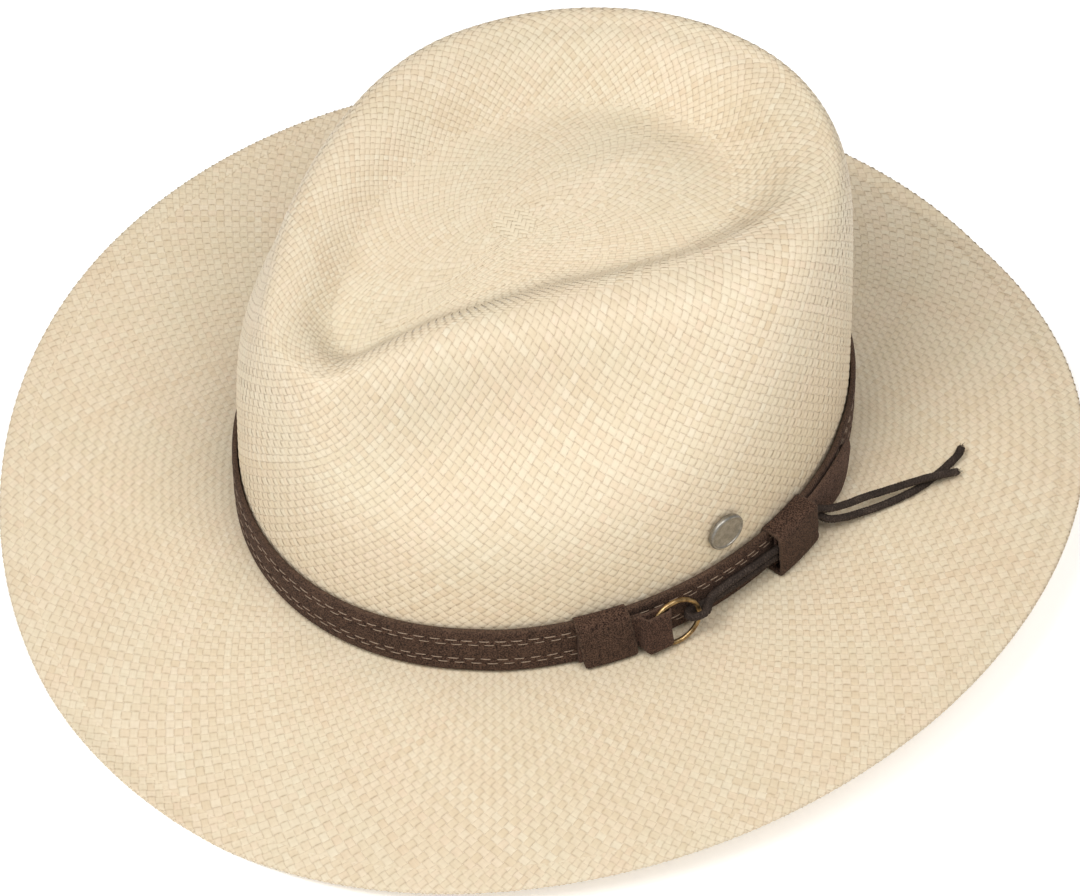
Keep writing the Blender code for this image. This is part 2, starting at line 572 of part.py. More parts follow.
# ---------------------------------------------------------------- pin badge and its washer
seat = badge_mid + badge_n * 0.0004
v, f = turned(badge_n, badge_side, seat, [(POST_D / 2, -0.0042), (POST_D / 2, 0.0), (BADGE_D / 2 - 0.0004, 0.0), (BADGE_D / 2, 0.0004),
                                          (BADGE_D / 2, BADGE_T - 0.0005), (BADGE_D / 2 - 0.0005, BADGE_T), (BADGE_D / 2 - 0.0011, BADGE_T), (BADGE_D / 2 - 0.0014, BADGE_T - 0.0003)], 28)
add("badge", v, f, PEWTER, 30, origin=seat)


def washer(name, axis, side, centre, r_in, r_out, l0, l1, mat, n=20):
    verts = []
    for r, lift in ((r_in, l0), (r_out, l0), (r_out, l1), (r_in, l1)):
        verts += disc_frame(axis, side, centre, r, lift, n)
    faces = [[i * n + j, i * n + (j + 1) % n, (i + 1) % 4 * n + (j + 1) % n, (i + 1) % 4 * n + j] for i in range(4) for j in range(n)]
    return add(name, verts, faces, mat, 30, origin=centre)


washer("badge_washer", badge_n, badge_side, seat, POST_D / 2 + 0.00025, 0.0042, -0.0033, -0.0022, PEWTER)

# ---------------------------------------------------------------- sweatband inside the crown
lean_in = np.array([0.0, 0.0007, 0.0016, 0.0027])
heights = np.array([0.0008, 0.0110, 0.0215, SWEAT_H])
inner_face = -(STRAW_T + 0.0005)
front_loops = [on_wall(U, h, inner_face - d) for h, d in zip(heights, lean_in)]
back_loops = [on_wall(U, h, inner_face - d - SWEAT_T) for h, d in zip(heights, lean_in)]
v, f = around(front_loops + back_loops[::-1])
add("sweatband", v, f, COTTON, 40)
r = REED_D / 2
c = inner_face - SWEAT_T / 2
v, f = around([on_wall(U, 0, c + r * sin(a)) + [0, 0, -0.0005 + r * cos(a)] for a in [k * pi / 3 for k in range(6)]])
add("sweatband_reed", v, f, PLASTIC, 60)
r = THREAD_D / 2
c = inner_face - 0.0002 - SWEAT_T - 0.0003 - r
v, f = around([on_wall(U, 0.0032 + r * cos(a), c + r * sin(a)) for a in (0, pi / 2, pi, 3 * pi / 2)])
add("sweatband_thread", v, f, THREAD, 60)

# small bow over the sweatband's join, at the back
BOW_W, BOW_H, BOW_T = 0.0110, 0.0036, 0.0011
half = [(0.0, 0.0012), (0.0018, 0.0014), (0.0050, 0.0028), (0.0090, BOW_H), (BOW_W, 0.0030), (BOW_W, -0.0030), (0.0090, -BOW_H), (0.0050, -0.0028), (0.0018, -0.0014), (0.0, -0.0012)]
outline = half + [(-x, y) for x, y in half[::-1] if x > 0]


def inside_back(s, h, off):
    return on_wall(0.5 + s / PERIMETER, h, off)[0]


near = inner_face - 0.0012 - SWEAT_T - 0.0004
v, f = swept([np.array([inside_back(x, 0.0105 + y, near) for x, y in outline]), np.array([inside_back(x, 0.0105 + y, near - BOW_T) for x, y in outline])])
add("sweatband_bow", v, f, COTTON, 30)
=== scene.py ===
"""Panama hat: the visual model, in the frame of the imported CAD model."""
from math import cos, pi, radians, sin

import bpy
import numpy as np
from mathutils import Matrix, Vector
from mathutils.bvhtree import BVHTree


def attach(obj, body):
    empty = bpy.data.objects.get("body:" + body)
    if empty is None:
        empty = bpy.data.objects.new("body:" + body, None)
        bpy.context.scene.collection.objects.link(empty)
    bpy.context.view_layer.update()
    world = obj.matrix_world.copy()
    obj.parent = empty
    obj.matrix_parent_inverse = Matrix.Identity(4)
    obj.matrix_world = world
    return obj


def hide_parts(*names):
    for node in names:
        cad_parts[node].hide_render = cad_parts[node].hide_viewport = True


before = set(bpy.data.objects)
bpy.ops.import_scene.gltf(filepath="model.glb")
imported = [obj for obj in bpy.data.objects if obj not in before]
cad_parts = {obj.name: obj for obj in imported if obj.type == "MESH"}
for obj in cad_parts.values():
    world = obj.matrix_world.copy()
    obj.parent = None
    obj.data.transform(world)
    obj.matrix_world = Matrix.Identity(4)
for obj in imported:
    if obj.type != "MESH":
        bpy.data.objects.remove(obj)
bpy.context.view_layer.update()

RNG = np.random.default_rng(7)

# ================================================================ the hat's surface, as in the CAD model
CROWN_A, CROWN_B = 0.1026, 0.0861
FOOT_Z, DATUM_Z = 0.0180, 0.0197
BRIM_FRONT, BRIM_SIDE, BRIM_BACK = 0.0746, 0.0786, 0.0719
STRAW_T = 0.0012
BAND_H0, BAND_H1 = 0.0017, 0.0187
BAND_OFF, BAND_OFF_KEEPER, BAND_T = 0.0005, 0.00110, 0.0012
ROWS = (0.0150, 0.0132, 0.0068, 0.0050)
THREAD_D, THREAD_GAP = 0.00036, 0.00012
KEEPER_FRONT, KEEPER_REAR, KEEPER_W, KEEPER_T = -0.0457, 0.0243, 0.0182, 0.0009
RING_S, RING_H, RING_R, RING_WIRE, RING_LEAN = -0.0241, 0.0100, 0.0080, 0.00155, 10.0
CORD_D = 0.0026
BADGE_D, BADGE_T, BADGE_S, BADGE_H = 0.0125, 0.0018, -0.0023, 0.0315
CREST_L = [(0, -92.0, 99), (9, -89, 100), (13, -73, 101), (17.5, -54, 102), (26, -34, 103), (36.5, -11, 104),
           (47, 15, 105), (53, 40, 105.5), (49, 65, 105), (30, 82, 104), (0, 89, 103.5)]
CREST_R = [(0, -92.0, 99), (-11, -90, 99), (-21, -84, 100), (-32, -70, 102), (-46, -52, 104), (-57, -29, 106),
           (-63, -2, 107), (-62, 26, 106.5), (-52, 54, 105.5), (-31, 78, 104), (0, 89, 103.5)]
SPINE_F, SPINE_B = (-0.007, -0.058), (-0.004, 0.030)
SPINE_ZF, SPINE_ZB = 0.0925, 0.0985
PINCH_L, PINCH_R = (0.135, 0.20, 1.0), (0.865, 0.17, 0.55)


def closed_curve(points):
    p = np.asarray(points, float)
    m = len(p)
    t = np.linspace(0, m, m * 60, endpoint=False)
    i = t.astype(int)
    f = (t - i)[:, None]
    a, b, c, d = p[(i - 1) % m], p[i % m], p[(i + 1) % m], p[(i + 2) % m]
    return 0.5 * (2 * b + (c - a) * f + (2 * a - 5 * b + 4 * c - d) * f**2 + (3 * b - a - 3 * c + d) * f**3)


def along(line, s):
    length = np.r_[0, np.cumsum(np.linalg.norm(np.diff(line, axis=0), axis=1))]
    return np.stack([np.interp(s * length[-1], length, line[:, k]) for k in range(line.shape[1])], 1)


def ellipse(a, b, n=2880):
    t = np.linspace(0, 2 * pi, n + 1)
    return np.stack([b * np.sin(t), -a * np.cos(t)], 1)


def two_halves(left, right, u):
    u = np.asarray(u, float) % 1.0
    out = np.empty((len(u), left.shape[1]))
    side = u <= 0.5
    if side.any():
        out[side] = along(left, u[side] * 2)
    if (~side).any():
        out[~side] = along(right, (1 - u[~side]) * 2)
    return out


def bell(u, centre, width):
    d = np.abs((np.asarray(u) - centre + 0.5) % 1.0 - 0.5) / width
    return np.where(d < 1, np.cos(np.minimum(d, 1) * pi / 2) ** 2, 0.0)


E = ellipse(CROWN_A, CROWN_B)
HALF = len(E) // 2
LOOP = CREST_L + CREST_R[-2:0:-1]
CURVE = closed_curve(LOOP) / 1000.0
K_BACK = len(CURVE) * (len(CREST_L) - 1) // len(LOOP)
CREST_LEFT, CREST_RIGHT = CURVE[: K_BACK + 1], np.vstack([CURVE[K_BACK:], CURVE[:1]])[::-1]
PERIMETER = float(np.linalg.norm(np.diff(ellipse(CROWN_A + 0.002, CROWN_B + 0.002), axis=0), axis=1).sum())


def loops(u):
    foot = two_halves(E[: HALF + 1], E[::-1][: HALF + 1], u)
    crest = two_halves(CREST_LEFT, CREST_RIGHT, u)
    return foot, crest, np.arctan2(foot[:, 0] / CROWN_B, -foot[:, 1] / CROWN_A)


def outward(foot):
    n = np.stack([foot[:, 0] / CROWN_B**2, foot[:, 1] / CROWN_A**2], 1)
    return n / np.linalg.norm(n, axis=1)[:, None]


def foot_height(phi):
    return FOOT_Z - 0.0014 * np.cos(2 * phi)


def spline(p, t):
    k, deg = len(p), 3
    kn = np.r_[[0] * deg, np.arange(k - deg + 1), [k - deg] * deg].astype(float)
    t = np.clip(np.asarray(t, float) * (k - deg), 0, k - deg - 1e-9)
    basis = [np.where((t >= kn[i]) & (t < kn[i + 1]), 1.0, 0.0) for i in range(len(kn) - 1)]
    for d in range(1, deg + 1):
        nxt = []
        for i in range(len(kn) - 1 - d):
            a, b = kn[i + d] - kn[i], kn[i + d + 1] - kn[i + 1]
            v = np.zeros_like(t)
            if a > 0:
                v = v + (t - kn[i]) / a * basis[i]
            if b > 0:
                v = v + (kn[i + d + 1] - t) / b * basis[i + 1]
            nxt.append(v)
        basis = nxt
    return np.einsum("im,inc->mnc", np.array(basis[:k]), p)


def wall(u, t):
    foot, crest, phi = loops(u)
    zf = foot_height(phi)
    height = crest[:, 2] + DATUM_Z - zf
    base = np.c_[foot, zf]
    d = crest[:, :2] - foot
    w = np.clip(PINCH_L[2] * bell(u, *PINCH_L[:2]) ** 0.8 + PINCH_R[2] * bell(u, *PINCH_R[:2]), 0, 1)[:, None]

    def at(inwards, up):
        return np.c_[base[:, :2] + d * inwards, base[:, 2] + height * up]

    plain = [(0, 0), (0.005, 0.2), (0.03, 0.42), (0.09, 0.64), (0.16, 0.84), (0.34, 0.985), (0.66, 1.02), (1, 1)]
    pinch = [(0, 0), (0.01, 0.18), (0.035, 0.36), (0.11, 0.56), (0.56, 0.64), (0.76, 0.80), (0.79, 0.985), (1, 1)]
    return spline(np.stack([at(*a) * (1 - w) + at(*b) * w for a, b in zip(plain, pinch)]), t)


def spine_of(u):
    u = np.asarray(u, float)
    k = 0.6 * (0.5 - 0.5 * np.cos(2 * pi * u)) + 0.4 * (1 - np.abs(1 - 2 * (u % 1.0)))
    return k, np.c_[SPINE_F[0] + (SPINE_B[0] - SPINE_F[0]) * k, SPINE_F[1] + (SPINE_B[1] - SPINE_F[1]) * k,
                    DATUM_Z + SPINE_ZF + (SPINE_ZB - SPINE_ZF) * np.sin(k * pi / 2)]


def top(u, t):
    foot, crest, phi = loops(u)
    c = np.c_[crest[:, :2], crest[:, 2] + DATUM_Z]
    k, s = spine_of(u)
    d = s[:, :2] - c[:, :2]
    run = np.linalg.norm(d, axis=1)
    e = d / run[:, None]
    moat = 0.0075 + 0.0060 * k**1.5

    def at(r, dz):
        return np.c_[c[:, :2] + e * np.asarray(r)[:, None], c[:, 2] + dz]

    r = [np.minimum(a, b * run) for a, b in ((0.007, 0.16), (0.014, 0.32), (0.023, 0.48), (0.034, 0.66))]
    rise = s[:, 2] - c[:, 2]
    p = np.stack([at(0 * run, 0), at(r[0], 0), at(r[1], -moat * 0.55), at(r[2], -moat * 1.1),
                  at(r[3], 0.4 * rise - 0.6 * moat), at(0.86 * run, rise), at(run, rise)])
    return spline(p, t)


def brim(u, t):
    foot, crest, phi = loops(u)
    zf = foot_height(phi)
    w = (BRIM_SIDE + (BRIM_FRONT - BRIM_SIDE) * np.clip(np.cos(phi), 0, 1) ** 2
         + (BRIM_BACK - BRIM_SIDE) * np.clip(-np.cos(phi), 0, 1) ** 2 - 0.0003 * np.cos(4 * phi))
    edge = (DATUM_Z - 0.0084 - 0.0101 * np.cos(2 * phi) - 0.0015 * np.cos(4 * phi)
            + 0.0030 * np.sin(phi) - 0.0036 * np.sin(2 * phi))
    t = np.asarray(t, float)[:, None]
    xy = foot[None] + outward(foot)[None] * (w[None] * t)[..., None]
    s = 0.45 * t + 0.55 * t**1.6
    z = np.maximum(zf[None] * (1 - s) + edge[None] * s, STRAW_T)
    return np.concatenate([xy, z[..., None]], 2)


# wall of the crown by height: x and y over a fine grid of places round the hat and heights
WU = 960
W_U = np.arange(WU) / WU
W_H = np.arange(0, 0.062, 0.0005)
W_N = outward(loops(W_U)[0])
W_ZF = foot_height(loops(W_U)[2])
_g = wall(W_U, np.linspace(0, 0.8, 90))
W_XY = np.empty((len(W_H), WU, 2))
for j in range(WU):
    zz = np.maximum.accumulate(_g[:, j, 2] - W_ZF[j])
    for c in (0, 1):
        W_XY[:, j, c] = np.interp(W_H, zz, _g[:, j, c])


def on_band(s, h, off):
    """Points beside the crown wall: s along the band from the left side (positive to the back), h above the foot, off outwards."""
    s, h, off = np.broadcast_arrays(np.asarray(s, float), np.asarray(h, float), np.asarray(off, float))
    u = (0.25 + s / PERIMETER) % 1.0 * WU
    i = np.floor(u).astype(int)
    fu = (u - i)[..., None]
    i, i1 = i % WU, (i + 1) % WU
    r = np.clip(h / 0.0005, 0, len(W_H) - 1.001)
    k = np.floor(r).astype(int)
    fr = (r - k)[..., None]
    xy = (W_XY[k, i] * (1 - fr) + W_XY[k + 1, i] * fr) * (1 - fu) + (W_XY[k, i1] * (1 - fr) + W_XY[k + 1, i1] * fr) * fu
    n = W_N[i] * (1 - fu) + W_N[i1] * fu
    n = n / np.linalg.norm(n, axis=-1)[..., None]
    z = W_ZF[i] * (1 - fu[..., 0]) + W_ZF[i1] * fu[..., 0] + h
    return np.concatenate([xy + n * off[..., None], z[..., None]], -1)


# ================================================================ meshes
def mesh(name, verts, quads, mat, smooth=True, uvs=None, attributes=None, body="hat", replaces=(), sharp=None):
    """An object from arrays; quads may hold -1 in the last column for a triangle."""
    verts = np.ascontiguousarray(verts, np.float32).reshape(-1, 3)
    quads = np.asarray(quads, np.int64)
    if quads.ndim == 2:
        tri = quads[:, 3] < 0 if quads.shape[1] == 4 else np.ones(len(quads), bool)
        total = np.where(tri, 3, 4)
        flat = quads[:, :3].reshape(-1) if tri.all() else quads.reshape(-1)[quads.reshape(-1) >= 0]
    me = bpy.data.meshes.new(name)
    me.vertices.add(len(verts))
    me.vertices.foreach_set("co", verts.reshape(-1))
    me.loops.add(len(flat))
    me.loops.foreach_set("vertex_index", flat.astype(np.int32))
    me.polygons.add(len(total))
    start = np.r_[0, np.cumsum(total)[:-1]]
    me.polygons.foreach_set("loop_start", start.astype(np.int32))
    me.polygons.foreach_set("loop_total", total.astype(np.int32))
    if smooth:
        me.polygons.foreach_set("use_smooth", np.ones(len(total), bool))
    me.update(calc_edges=True)
    if uvs is not None:
        for uv_name, uv in uvs.items():
            layer = me.uv_layers.new(name=uv_name)
            layer.data.foreach_set("uv", np.ascontiguousarray(uv[flat], np.float32).reshape(-1))
    for key, values in (attributes or {}).items():
        kind = "FLOAT_VECTOR" if values.ndim == 2 else "FLOAT"
        a = me.attributes.new(key, kind, "POINT")
        a.data.foreach_set("vector" if values.ndim == 2 else "value", np.ascontiguousarray(values, np.float32).reshape(-1))
    if sharp:
        me.set_sharp_from_angle(angle=radians(sharp))
    me.materials.append(mat)
    o = bpy.data.objects.new(name, me)
    bpy.context.collection.objects.link(o)
    if body:
        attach(o, body)
    if replaces:
        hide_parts(*replaces)
    return o


def grid_quads(m, n, wrap_n=False, wrap_m=False, base=0):
    i, j = np.meshgrid(np.arange(m if wrap_m else m - 1), np.arange(n if wrap_n else n - 1), indexing="ij")
    i, j = i.reshape(-1), j.reshape(-1)
    i1, j1 = (i + 1) % m, (j + 1) % n
    return base + np.stack([i * n + j, i * n + j1, i1 * n + j1, i1 * n + j], 1)


class Parts:
    """Gathers pieces of mesh into one."""

    def __init__(self):
        self.v, self.f, self.a, self.n = [], [], {}, 0

    def add(self, v, f, **attributes):
        v = np.asarray(v, float).reshape(-1, 3)
        f = np.asarray(f, np.int64)
        self.v.append(v)
        self.f.append(np.where(f >= 0, f + self.n, -1))
        for key, values in attributes.items():
            self.a.setdefault(key, []).append(np.broadcast_to(np.asarray(values, float), (len(v),) + np.shape(values)[1:] if np.ndim(values) > 1 else (len(v),)))
        self.n += len(v)

    def make(self, name, mat, **options):
        return mesh(name, np.vstack(self.v), np.vstack(self.f), mat, attributes={k: np.concatenate(v) for k, v in self.a.items()}, **options)


def tube(path, radius, n=10, caps=True, closed=False):
    """Verts and quads of a round tube along a path."""
    p = np.asarray(path, float)
    m = len(p)
    t = (np.roll(p, -1, 0) - np.roll(p, 1, 0)) if closed else np.gradient(p, axis=0)
    t /= np.linalg.norm(t, axis=1)[:, None]
    side = np.empty_like(p)
    ref = np.array([0.0, 0, 1]) if abs(t[0, 2]) < 0.9 else np.array([1.0, 0, 0])
    side[0] = np.cross(t[0], ref)
    side[0] /= np.linalg.norm(side[0])
    for k in range(1, m):
        s = side[k - 1] - t[k] * np.dot(side[k - 1], t[k])
        side[k] = s / np.linalg.norm(s)
    up = np.cross(t, side)
    a = 2 * pi * np.arange(n) / n
    r = np.broadcast_to(np.asarray(radius, float), (m,))
    v = p[:, None] + r[:, None, None] * (np.cos(a)[None, :, None] * side[:, None] + np.sin(a)[None, :, None] * up[:, None])
    f = grid_quads(m, n, wrap_n=True, wrap_m=closed)
    v = v.reshape(-1, 3)
    if caps and not closed:
        v = np.vstack([v, p[:1], p[-1:]])
        j = np.arange(n)
        f = np.vstack([f, np.stack([(j + 1) % n, j, np.full(n, m * n), np.full(n, -1)], 1),
                       np.stack([(m - 1) * n + j, (m - 1) * n + (j + 1) % n, np.full(n, m * n + 1), np.full(n, -1)], 1)])
    return v, f, (t, side, up)


def smooth_path(points, n):
    p = np.asarray(points, float)
    q = np.vstack([2 * p[0] - p[1], p, 2 * p[-1] - p[-2]])
    out = []
    for i in range(1, len(q) - 2):
        for t in np.linspace(0, 1, 40, endpoint=False):
            a, b, c, d = q[i - 1], q[i], q[i + 1], q[i + 2]
            out.append(0.5 * (2 * b + (c - a) * t + (2 * a - 5 * b + 4 * c - d) * t**2 + (3 * b - a - 3 * c + d) * t**3))
    out.append(p[-1])
    return along(np.array(out), np.linspace(0, 1, n))


# ================================================================ materials
class Nodes:
    def __init__(self, name):
        self.m = bpy.data.materials.new(name)
        self.m.use_nodes = True
        self.t = self.m.node_tree
        self.b = self.t.nodes["Principled BSDF"]

    def new(self, kind, **inputs):
        n = self.t.nodes.new(kind)
        for k, v in inputs.items():
            if k.startswith("_"):
                setattr(n, k[1:], v)
            else:
                self.set(n.inputs[k.replace("_", " ")], v)
        return n

    def set(self, socket, v):
        if isinstance(v, bpy.types.NodeSocket):
            self.t.links.new(v, socket)
        else:
            socket.default_value = v

    def math(self, op, a, b=0.0, clamp=False):
        n = self.t.nodes.new("ShaderNodeMath")
        n.operation = op
        n.use_clamp = clamp
        self.set(n.inputs[0], a)
        self.set(n.inputs[1], b)
        return n.outputs[0]

    def ramp(self, fac, stops):
        n = self.t.nodes.new("ShaderNodeValToRGB")
        while len(n.color_ramp.elements) < len(stops):
            n.color_ramp.elements.new(0.5)
        for e, (pos, col) in zip(n.color_ramp.elements, stops):
            e.position = pos
            e.color = (*col, 1)
        self.set(n.inputs[0], fac)
        return n.outputs[0]

    def mix(self, fac, a, b, mode="MIX"):
        n = self.t.nodes.new("ShaderNodeMix")
        n.data_type = "RGBA"
        n.blend_type = mode
        self.set(n.inputs[0], fac)
        for s, v in ((n.inputs[6], a), (n.inputs[7], b)):
            self.set(s, (*v, 1) if isinstance(v, tuple) and len(v) == 3 else v)
        return n.outputs[2]

    def noise(self, scale, detail=3.0, rough=0.5, vector=None):
        n = self.t.nodes.new("ShaderNodeTexNoise")
        n.inputs["Scale"].default_value = scale
        n.inputs["Detail"].default_value = detail
        n.inputs["Roughness"].default_value = rough
        if vector is not None:
            self.set(n.inputs["Vector"], vector)
        return n.outputs["Fac"]

    def bump(self, height, strength, distance):
        n = self.t.nodes.new("ShaderNodeBump")
        n.inputs["Strength"].default_value = strength
        n.inputs["Distance"].default_value = distance
        self.set(n.inputs["Height"], height)
        self.set(self.b.inputs["Normal"], n.outputs[0])

    def attr(self, name, out="Fac"):
        n = self.t.nodes.new("ShaderNodeAttribute")
        n.attribute_name = name
        return n.outputs[out]

    def coord(self):
        return self.t.nodes.new("ShaderNodeTexCoord").outputs["Object"]

    def scaled(self, vector, scale):
        n = self.t.nodes.new("ShaderNodeVectorMath")
        n.operation = "MULTIPLY"
        self.set(n.inputs[0], vector)
        n.inputs[1].default_value = scale
        return n.outputs[0]


def straw_material():
    k = Nodes("straw_weave")
    tint = k.attr("tint")          # one number per straw, drifting along it
    hue = k.attr("hue")
    edge = k.attr("edge")          # 0 along a straw's middle, 1 on its edges
    dip = k.attr("dip")            # 0 where a straw lies on top, 1 where it goes under
    base = k.ramp(tint, [(0.0, (0.73, 0.57, 0.38)), (0.35, (0.80, 0.67, 0.475)), (0.7, (0.85, 0.74, 0.55)), (1.0, (0.89, 0.81, 0.64))])
    warm = k.mix(k.math("MULTIPLY", hue, 0.55), base, (0.86, 0.68, 0.51))
    blotch = k.noise(38.0, 2.0, 0.5, k.coord())
    green = k.mix(k.math("MULTIPLY", k.ramp(blotch, [(0.42, (0, 0, 0)), (0.66, (1, 1, 1))]), 0.20), warm, (0.76, 0.73, 0.54))
    fibre = k.noise(1.0, 4.0, 0.6, k.scaled(k.attr("strand", "Vector"), (2600.0, 160.0, 0.0)))
    lined = k.mix(k.math("MULTIPLY", k.ramp(fibre, [(0.35, (1, 1, 1)), (0.60, (0, 0, 0))]), 0.16), green, (0.62, 0.46, 0.27))
    rough = k.noise(900.0, 2.0, 0.5, k.coord())
    # painted shade in the crevices: each straw darkens towards its edges, in patches, where the gaps between straws
    # fall into shadow
    gap = k.math("MULTIPLY", k.math("POWER", edge, 6.0), k.ramp(rough, [(0.36, (0.12, 0.12, 0.12)), (0.62, (1, 1, 1))]))
    crevice_shade = k.math("ADD", k.math("MULTIPLY", gap, 0.80), k.math("MULTIPLY", k.math("POWER", edge, 2.0), 0.06))
    # painted shade where a straw dives under its neighbour, added to the crevice shade; both mix the straw towards dark
    # brown
    dark = k.math("ADD", crevice_shade, k.math("MULTIPLY", k.math("POWER", dip, 2.0), 0.12), clamp=True)
    col = k.mix(dark, lined, (0.40, 0.28, 0.17))
    k.set(k.b.inputs["Base Color"], col)
    k.set(k.b.inputs["Roughness"], k.ramp(fibre, [(0.3, (0.62, 0.62, 0.62)), (0.7, (0.48, 0.48, 0.48))]))
    k.b.inputs["Specular IOR Level"].default_value = 0.32
    k.bump(fibre, 0.35, 0.00012)
    return k.m


def suede_material(name, dark, light, nap=1.0, rough=0.96, sheen=0.30):
    k = Nodes(name)
    c = k.coord()
    fine = k.noise(2300.0, 1.0, 0.6, c)
    mid = k.noise(520.0, 4.0, 0.65, c)
    big = k.noise(70.0, 3.0, 0.5, c)
    f = k.math("ADD", k.math("MULTIPLY", fine, 0.72), k.math("ADD", k.math("MULTIPLY", mid, 0.20), k.math("MULTIPLY", big, 0.08)))
    col = k.ramp(f, [(0.40, dark), (0.60, light)])
    raw = k.attr("raw")            # 1 on cut edges, where the pale inside of the leather shows
    col = k.mix(k.math("MULTIPLY", raw, 0.35), col, (0.11, 0.072, 0.048))
    k.set(k.b.inputs["Base Color"], col)
    k.b.inputs["Roughness"].default_value = rough
    k.b.inputs["Specular IOR Level"].default_value = 0.18
    k.b.inputs["Sheen Weight"].default_value = sheen
    k.b.inputs["Sheen Roughness"].default_value = 0.5
    k.b.inputs["Sheen Tint"].default_value = (0.55, 0.42, 0.34, 1)
    k.bump(k.math("ADD", fine, k.math("MULTIPLY", mid, 0.8)), 0.7 * nap + 0.1, 0.00045)
    return k.m


def thread_material():
    k = Nodes("waxed_thread")
    twist = k.noise(1.0, 2.0, 0.5, k.scaled(k.coord(), (2500.0, 2500.0, 2500.0)))
    k.set(k.b.inputs["Base Color"], k.ramp(twist, [(0.3, (0.20, 0.13, 0.085)), (0.7, (0.42, 0.31, 0.22))]))
    k.b.inputs["Roughness"].default_value = 0.6
    k.bump(twist, 0.4, 0.0001)
    return k.m


def cord_material():
    k = Nodes("braided_cord")
    c = k.coord()
    f = k.noise(2200.0, 3.0, 0.6, c)
    big = k.noise(160.0, 2.0, 0.5, c)
    mixed = k.math("ADD", k.math("MULTIPLY", f, 0.7), k.math("MULTIPLY", big, 0.3))
    # the palest stop paints light specks over the braid: painted sheen of the waxed cord
    k.set(k.b.inputs["Base Color"], k.ramp(mixed, [(0.34, (0.016, 0.011, 0.008)), (0.58, (0.052, 0.036, 0.028)), (0.68, (0.14, 0.105, 0.080))]))
    k.b.inputs["Roughness"].default_value = 0.75
    k.b.inputs["Specular IOR Level"].default_value = 0.2
    k.bump(f, 0.35, 0.00012)
    return k.m


def metal_material(name, dark, light, rough):
    k = Nodes(name)
    c = k.coord()
    patina = k.noise(520.0, 5.0, 0.65, c)
    scratch = k.noise(1.0, 2.0, 0.5, k.scaled(c, (900.0, 900.0, 6500.0)))
    k.set(k.b.inputs["Base Color"], k.ramp(patina, [(0.36, dark), (0.62, light)]))
    k.b.inputs["Metallic"].default_value = 1.0
    k.set(k.b.inputs["Roughness"], k.ramp(scratch, [(0.3, (rough - 0.08,) * 3), (0.7, (rough + 0.14,) * 3)]))
    k.bump(scratch, 0.08, 0.00008)
    return k.m


def tape_material():
    k = Nodes("cotton_tape")
    c = k.coord()
    rib = k.attr("rib")
    n = k.noise(900.0, 3.0, 0.6, c)
    f = k.math("ADD", k.math("MULTIPLY", rib, 0.45), k.math("MULTIPLY", n, 0.55))
    k.set(k.b.inputs["Base Color"], k.ramp(f, [(0.2, (0.055, 0.040, 0.032)), (0.8, (0.135, 0.100, 0.080))]))
    k.b.inputs["Roughness"].default_value = 0.85
    k.b.inputs["Sheen Weight"].default_value = 0.15
    k.bump(n, 0.3, 0.0002)
    return k.m


STRAW = straw_material()
SUEDE = suede_material("suede_band", (0.017, 0.0080, 0.0050), (0.116, 0.065, 0.043), sheen=0.10)
SMOOTH = suede_material("smooth_suede", (0.021, 0.0100, 0.0065), (0.112, 0.060, 0.041), nap=0.9, rough=0.90, sheen=0.10)
TAIL_SUEDE = suede_material("tail_suede", (0.028, 0.0130, 0.0085), (0.175, 0.098, 0.068), nap=0.9, rough=0.90, sheen=0.12)
THREAD = thread_material()
CORD = cord_material()
BRASS = metal_material("antique_brass", (0.17, 0.10, 0.045), (0.52, 0.36, 0.17), 0.36)
PEWTER = metal_material("pewter", (0.26, 0.245, 0.215), (0.38, 0.36, 0.32), 0.44)
TAPE = tape_material()

# ================================================================ the woven straw
M = 720
U = np.arange(M + 1) / M


def ring_sizes(g):
    d = np.linalg.norm(np.diff(g, axis=1), axis=2)
    return d.sum(1)


def levels(g):
    """For each row of the grid, how far the weave has run: steps along the hat over the length of the way round."""
    p = ring_sizes(g)
    ds = np.linalg.norm(np.diff(g, axis=0), axis=2)[:, :-1].mean(1)
    return np.r_[0, np.cumsum(ds / (0.5 * (p[1:] + p[:-1])))]


def normals_of(g, sign=1.0):
    gu = np.empty_like(g)
    gu[:, 1:-1] = g[:, 2:] - g[:, :-2]
    gu[:, 0] = gu[:, -1] = g[:, 1] - g[:, -2]
    gt = np.gradient(g, axis=0)
    n = np.cross(gt, gu) * sign
    ln = np.linalg.norm(n, axis=2)[..., None]
    return n / np.maximum(ln, 1e-12)


def sample(g, r, u):
    m = g.shape[1] - 1
    c = (u % 1.0) * m
    j = np.floor(c).astype(int)
    fc = (c - j)[..., None]
    j = j % m
    r = np.clip(r, 0, g.shape[0] - 1.000001)
    i = np.floor(r).astype(int)
    fr = (r - i)[..., None]
    return (g[i, j] * (1 - fc) + g[i, j + 1] * fc) * (1 - fr) + (g[i + 1, j] * (1 - fc) + g[i + 1, j + 1] * fc) * fr


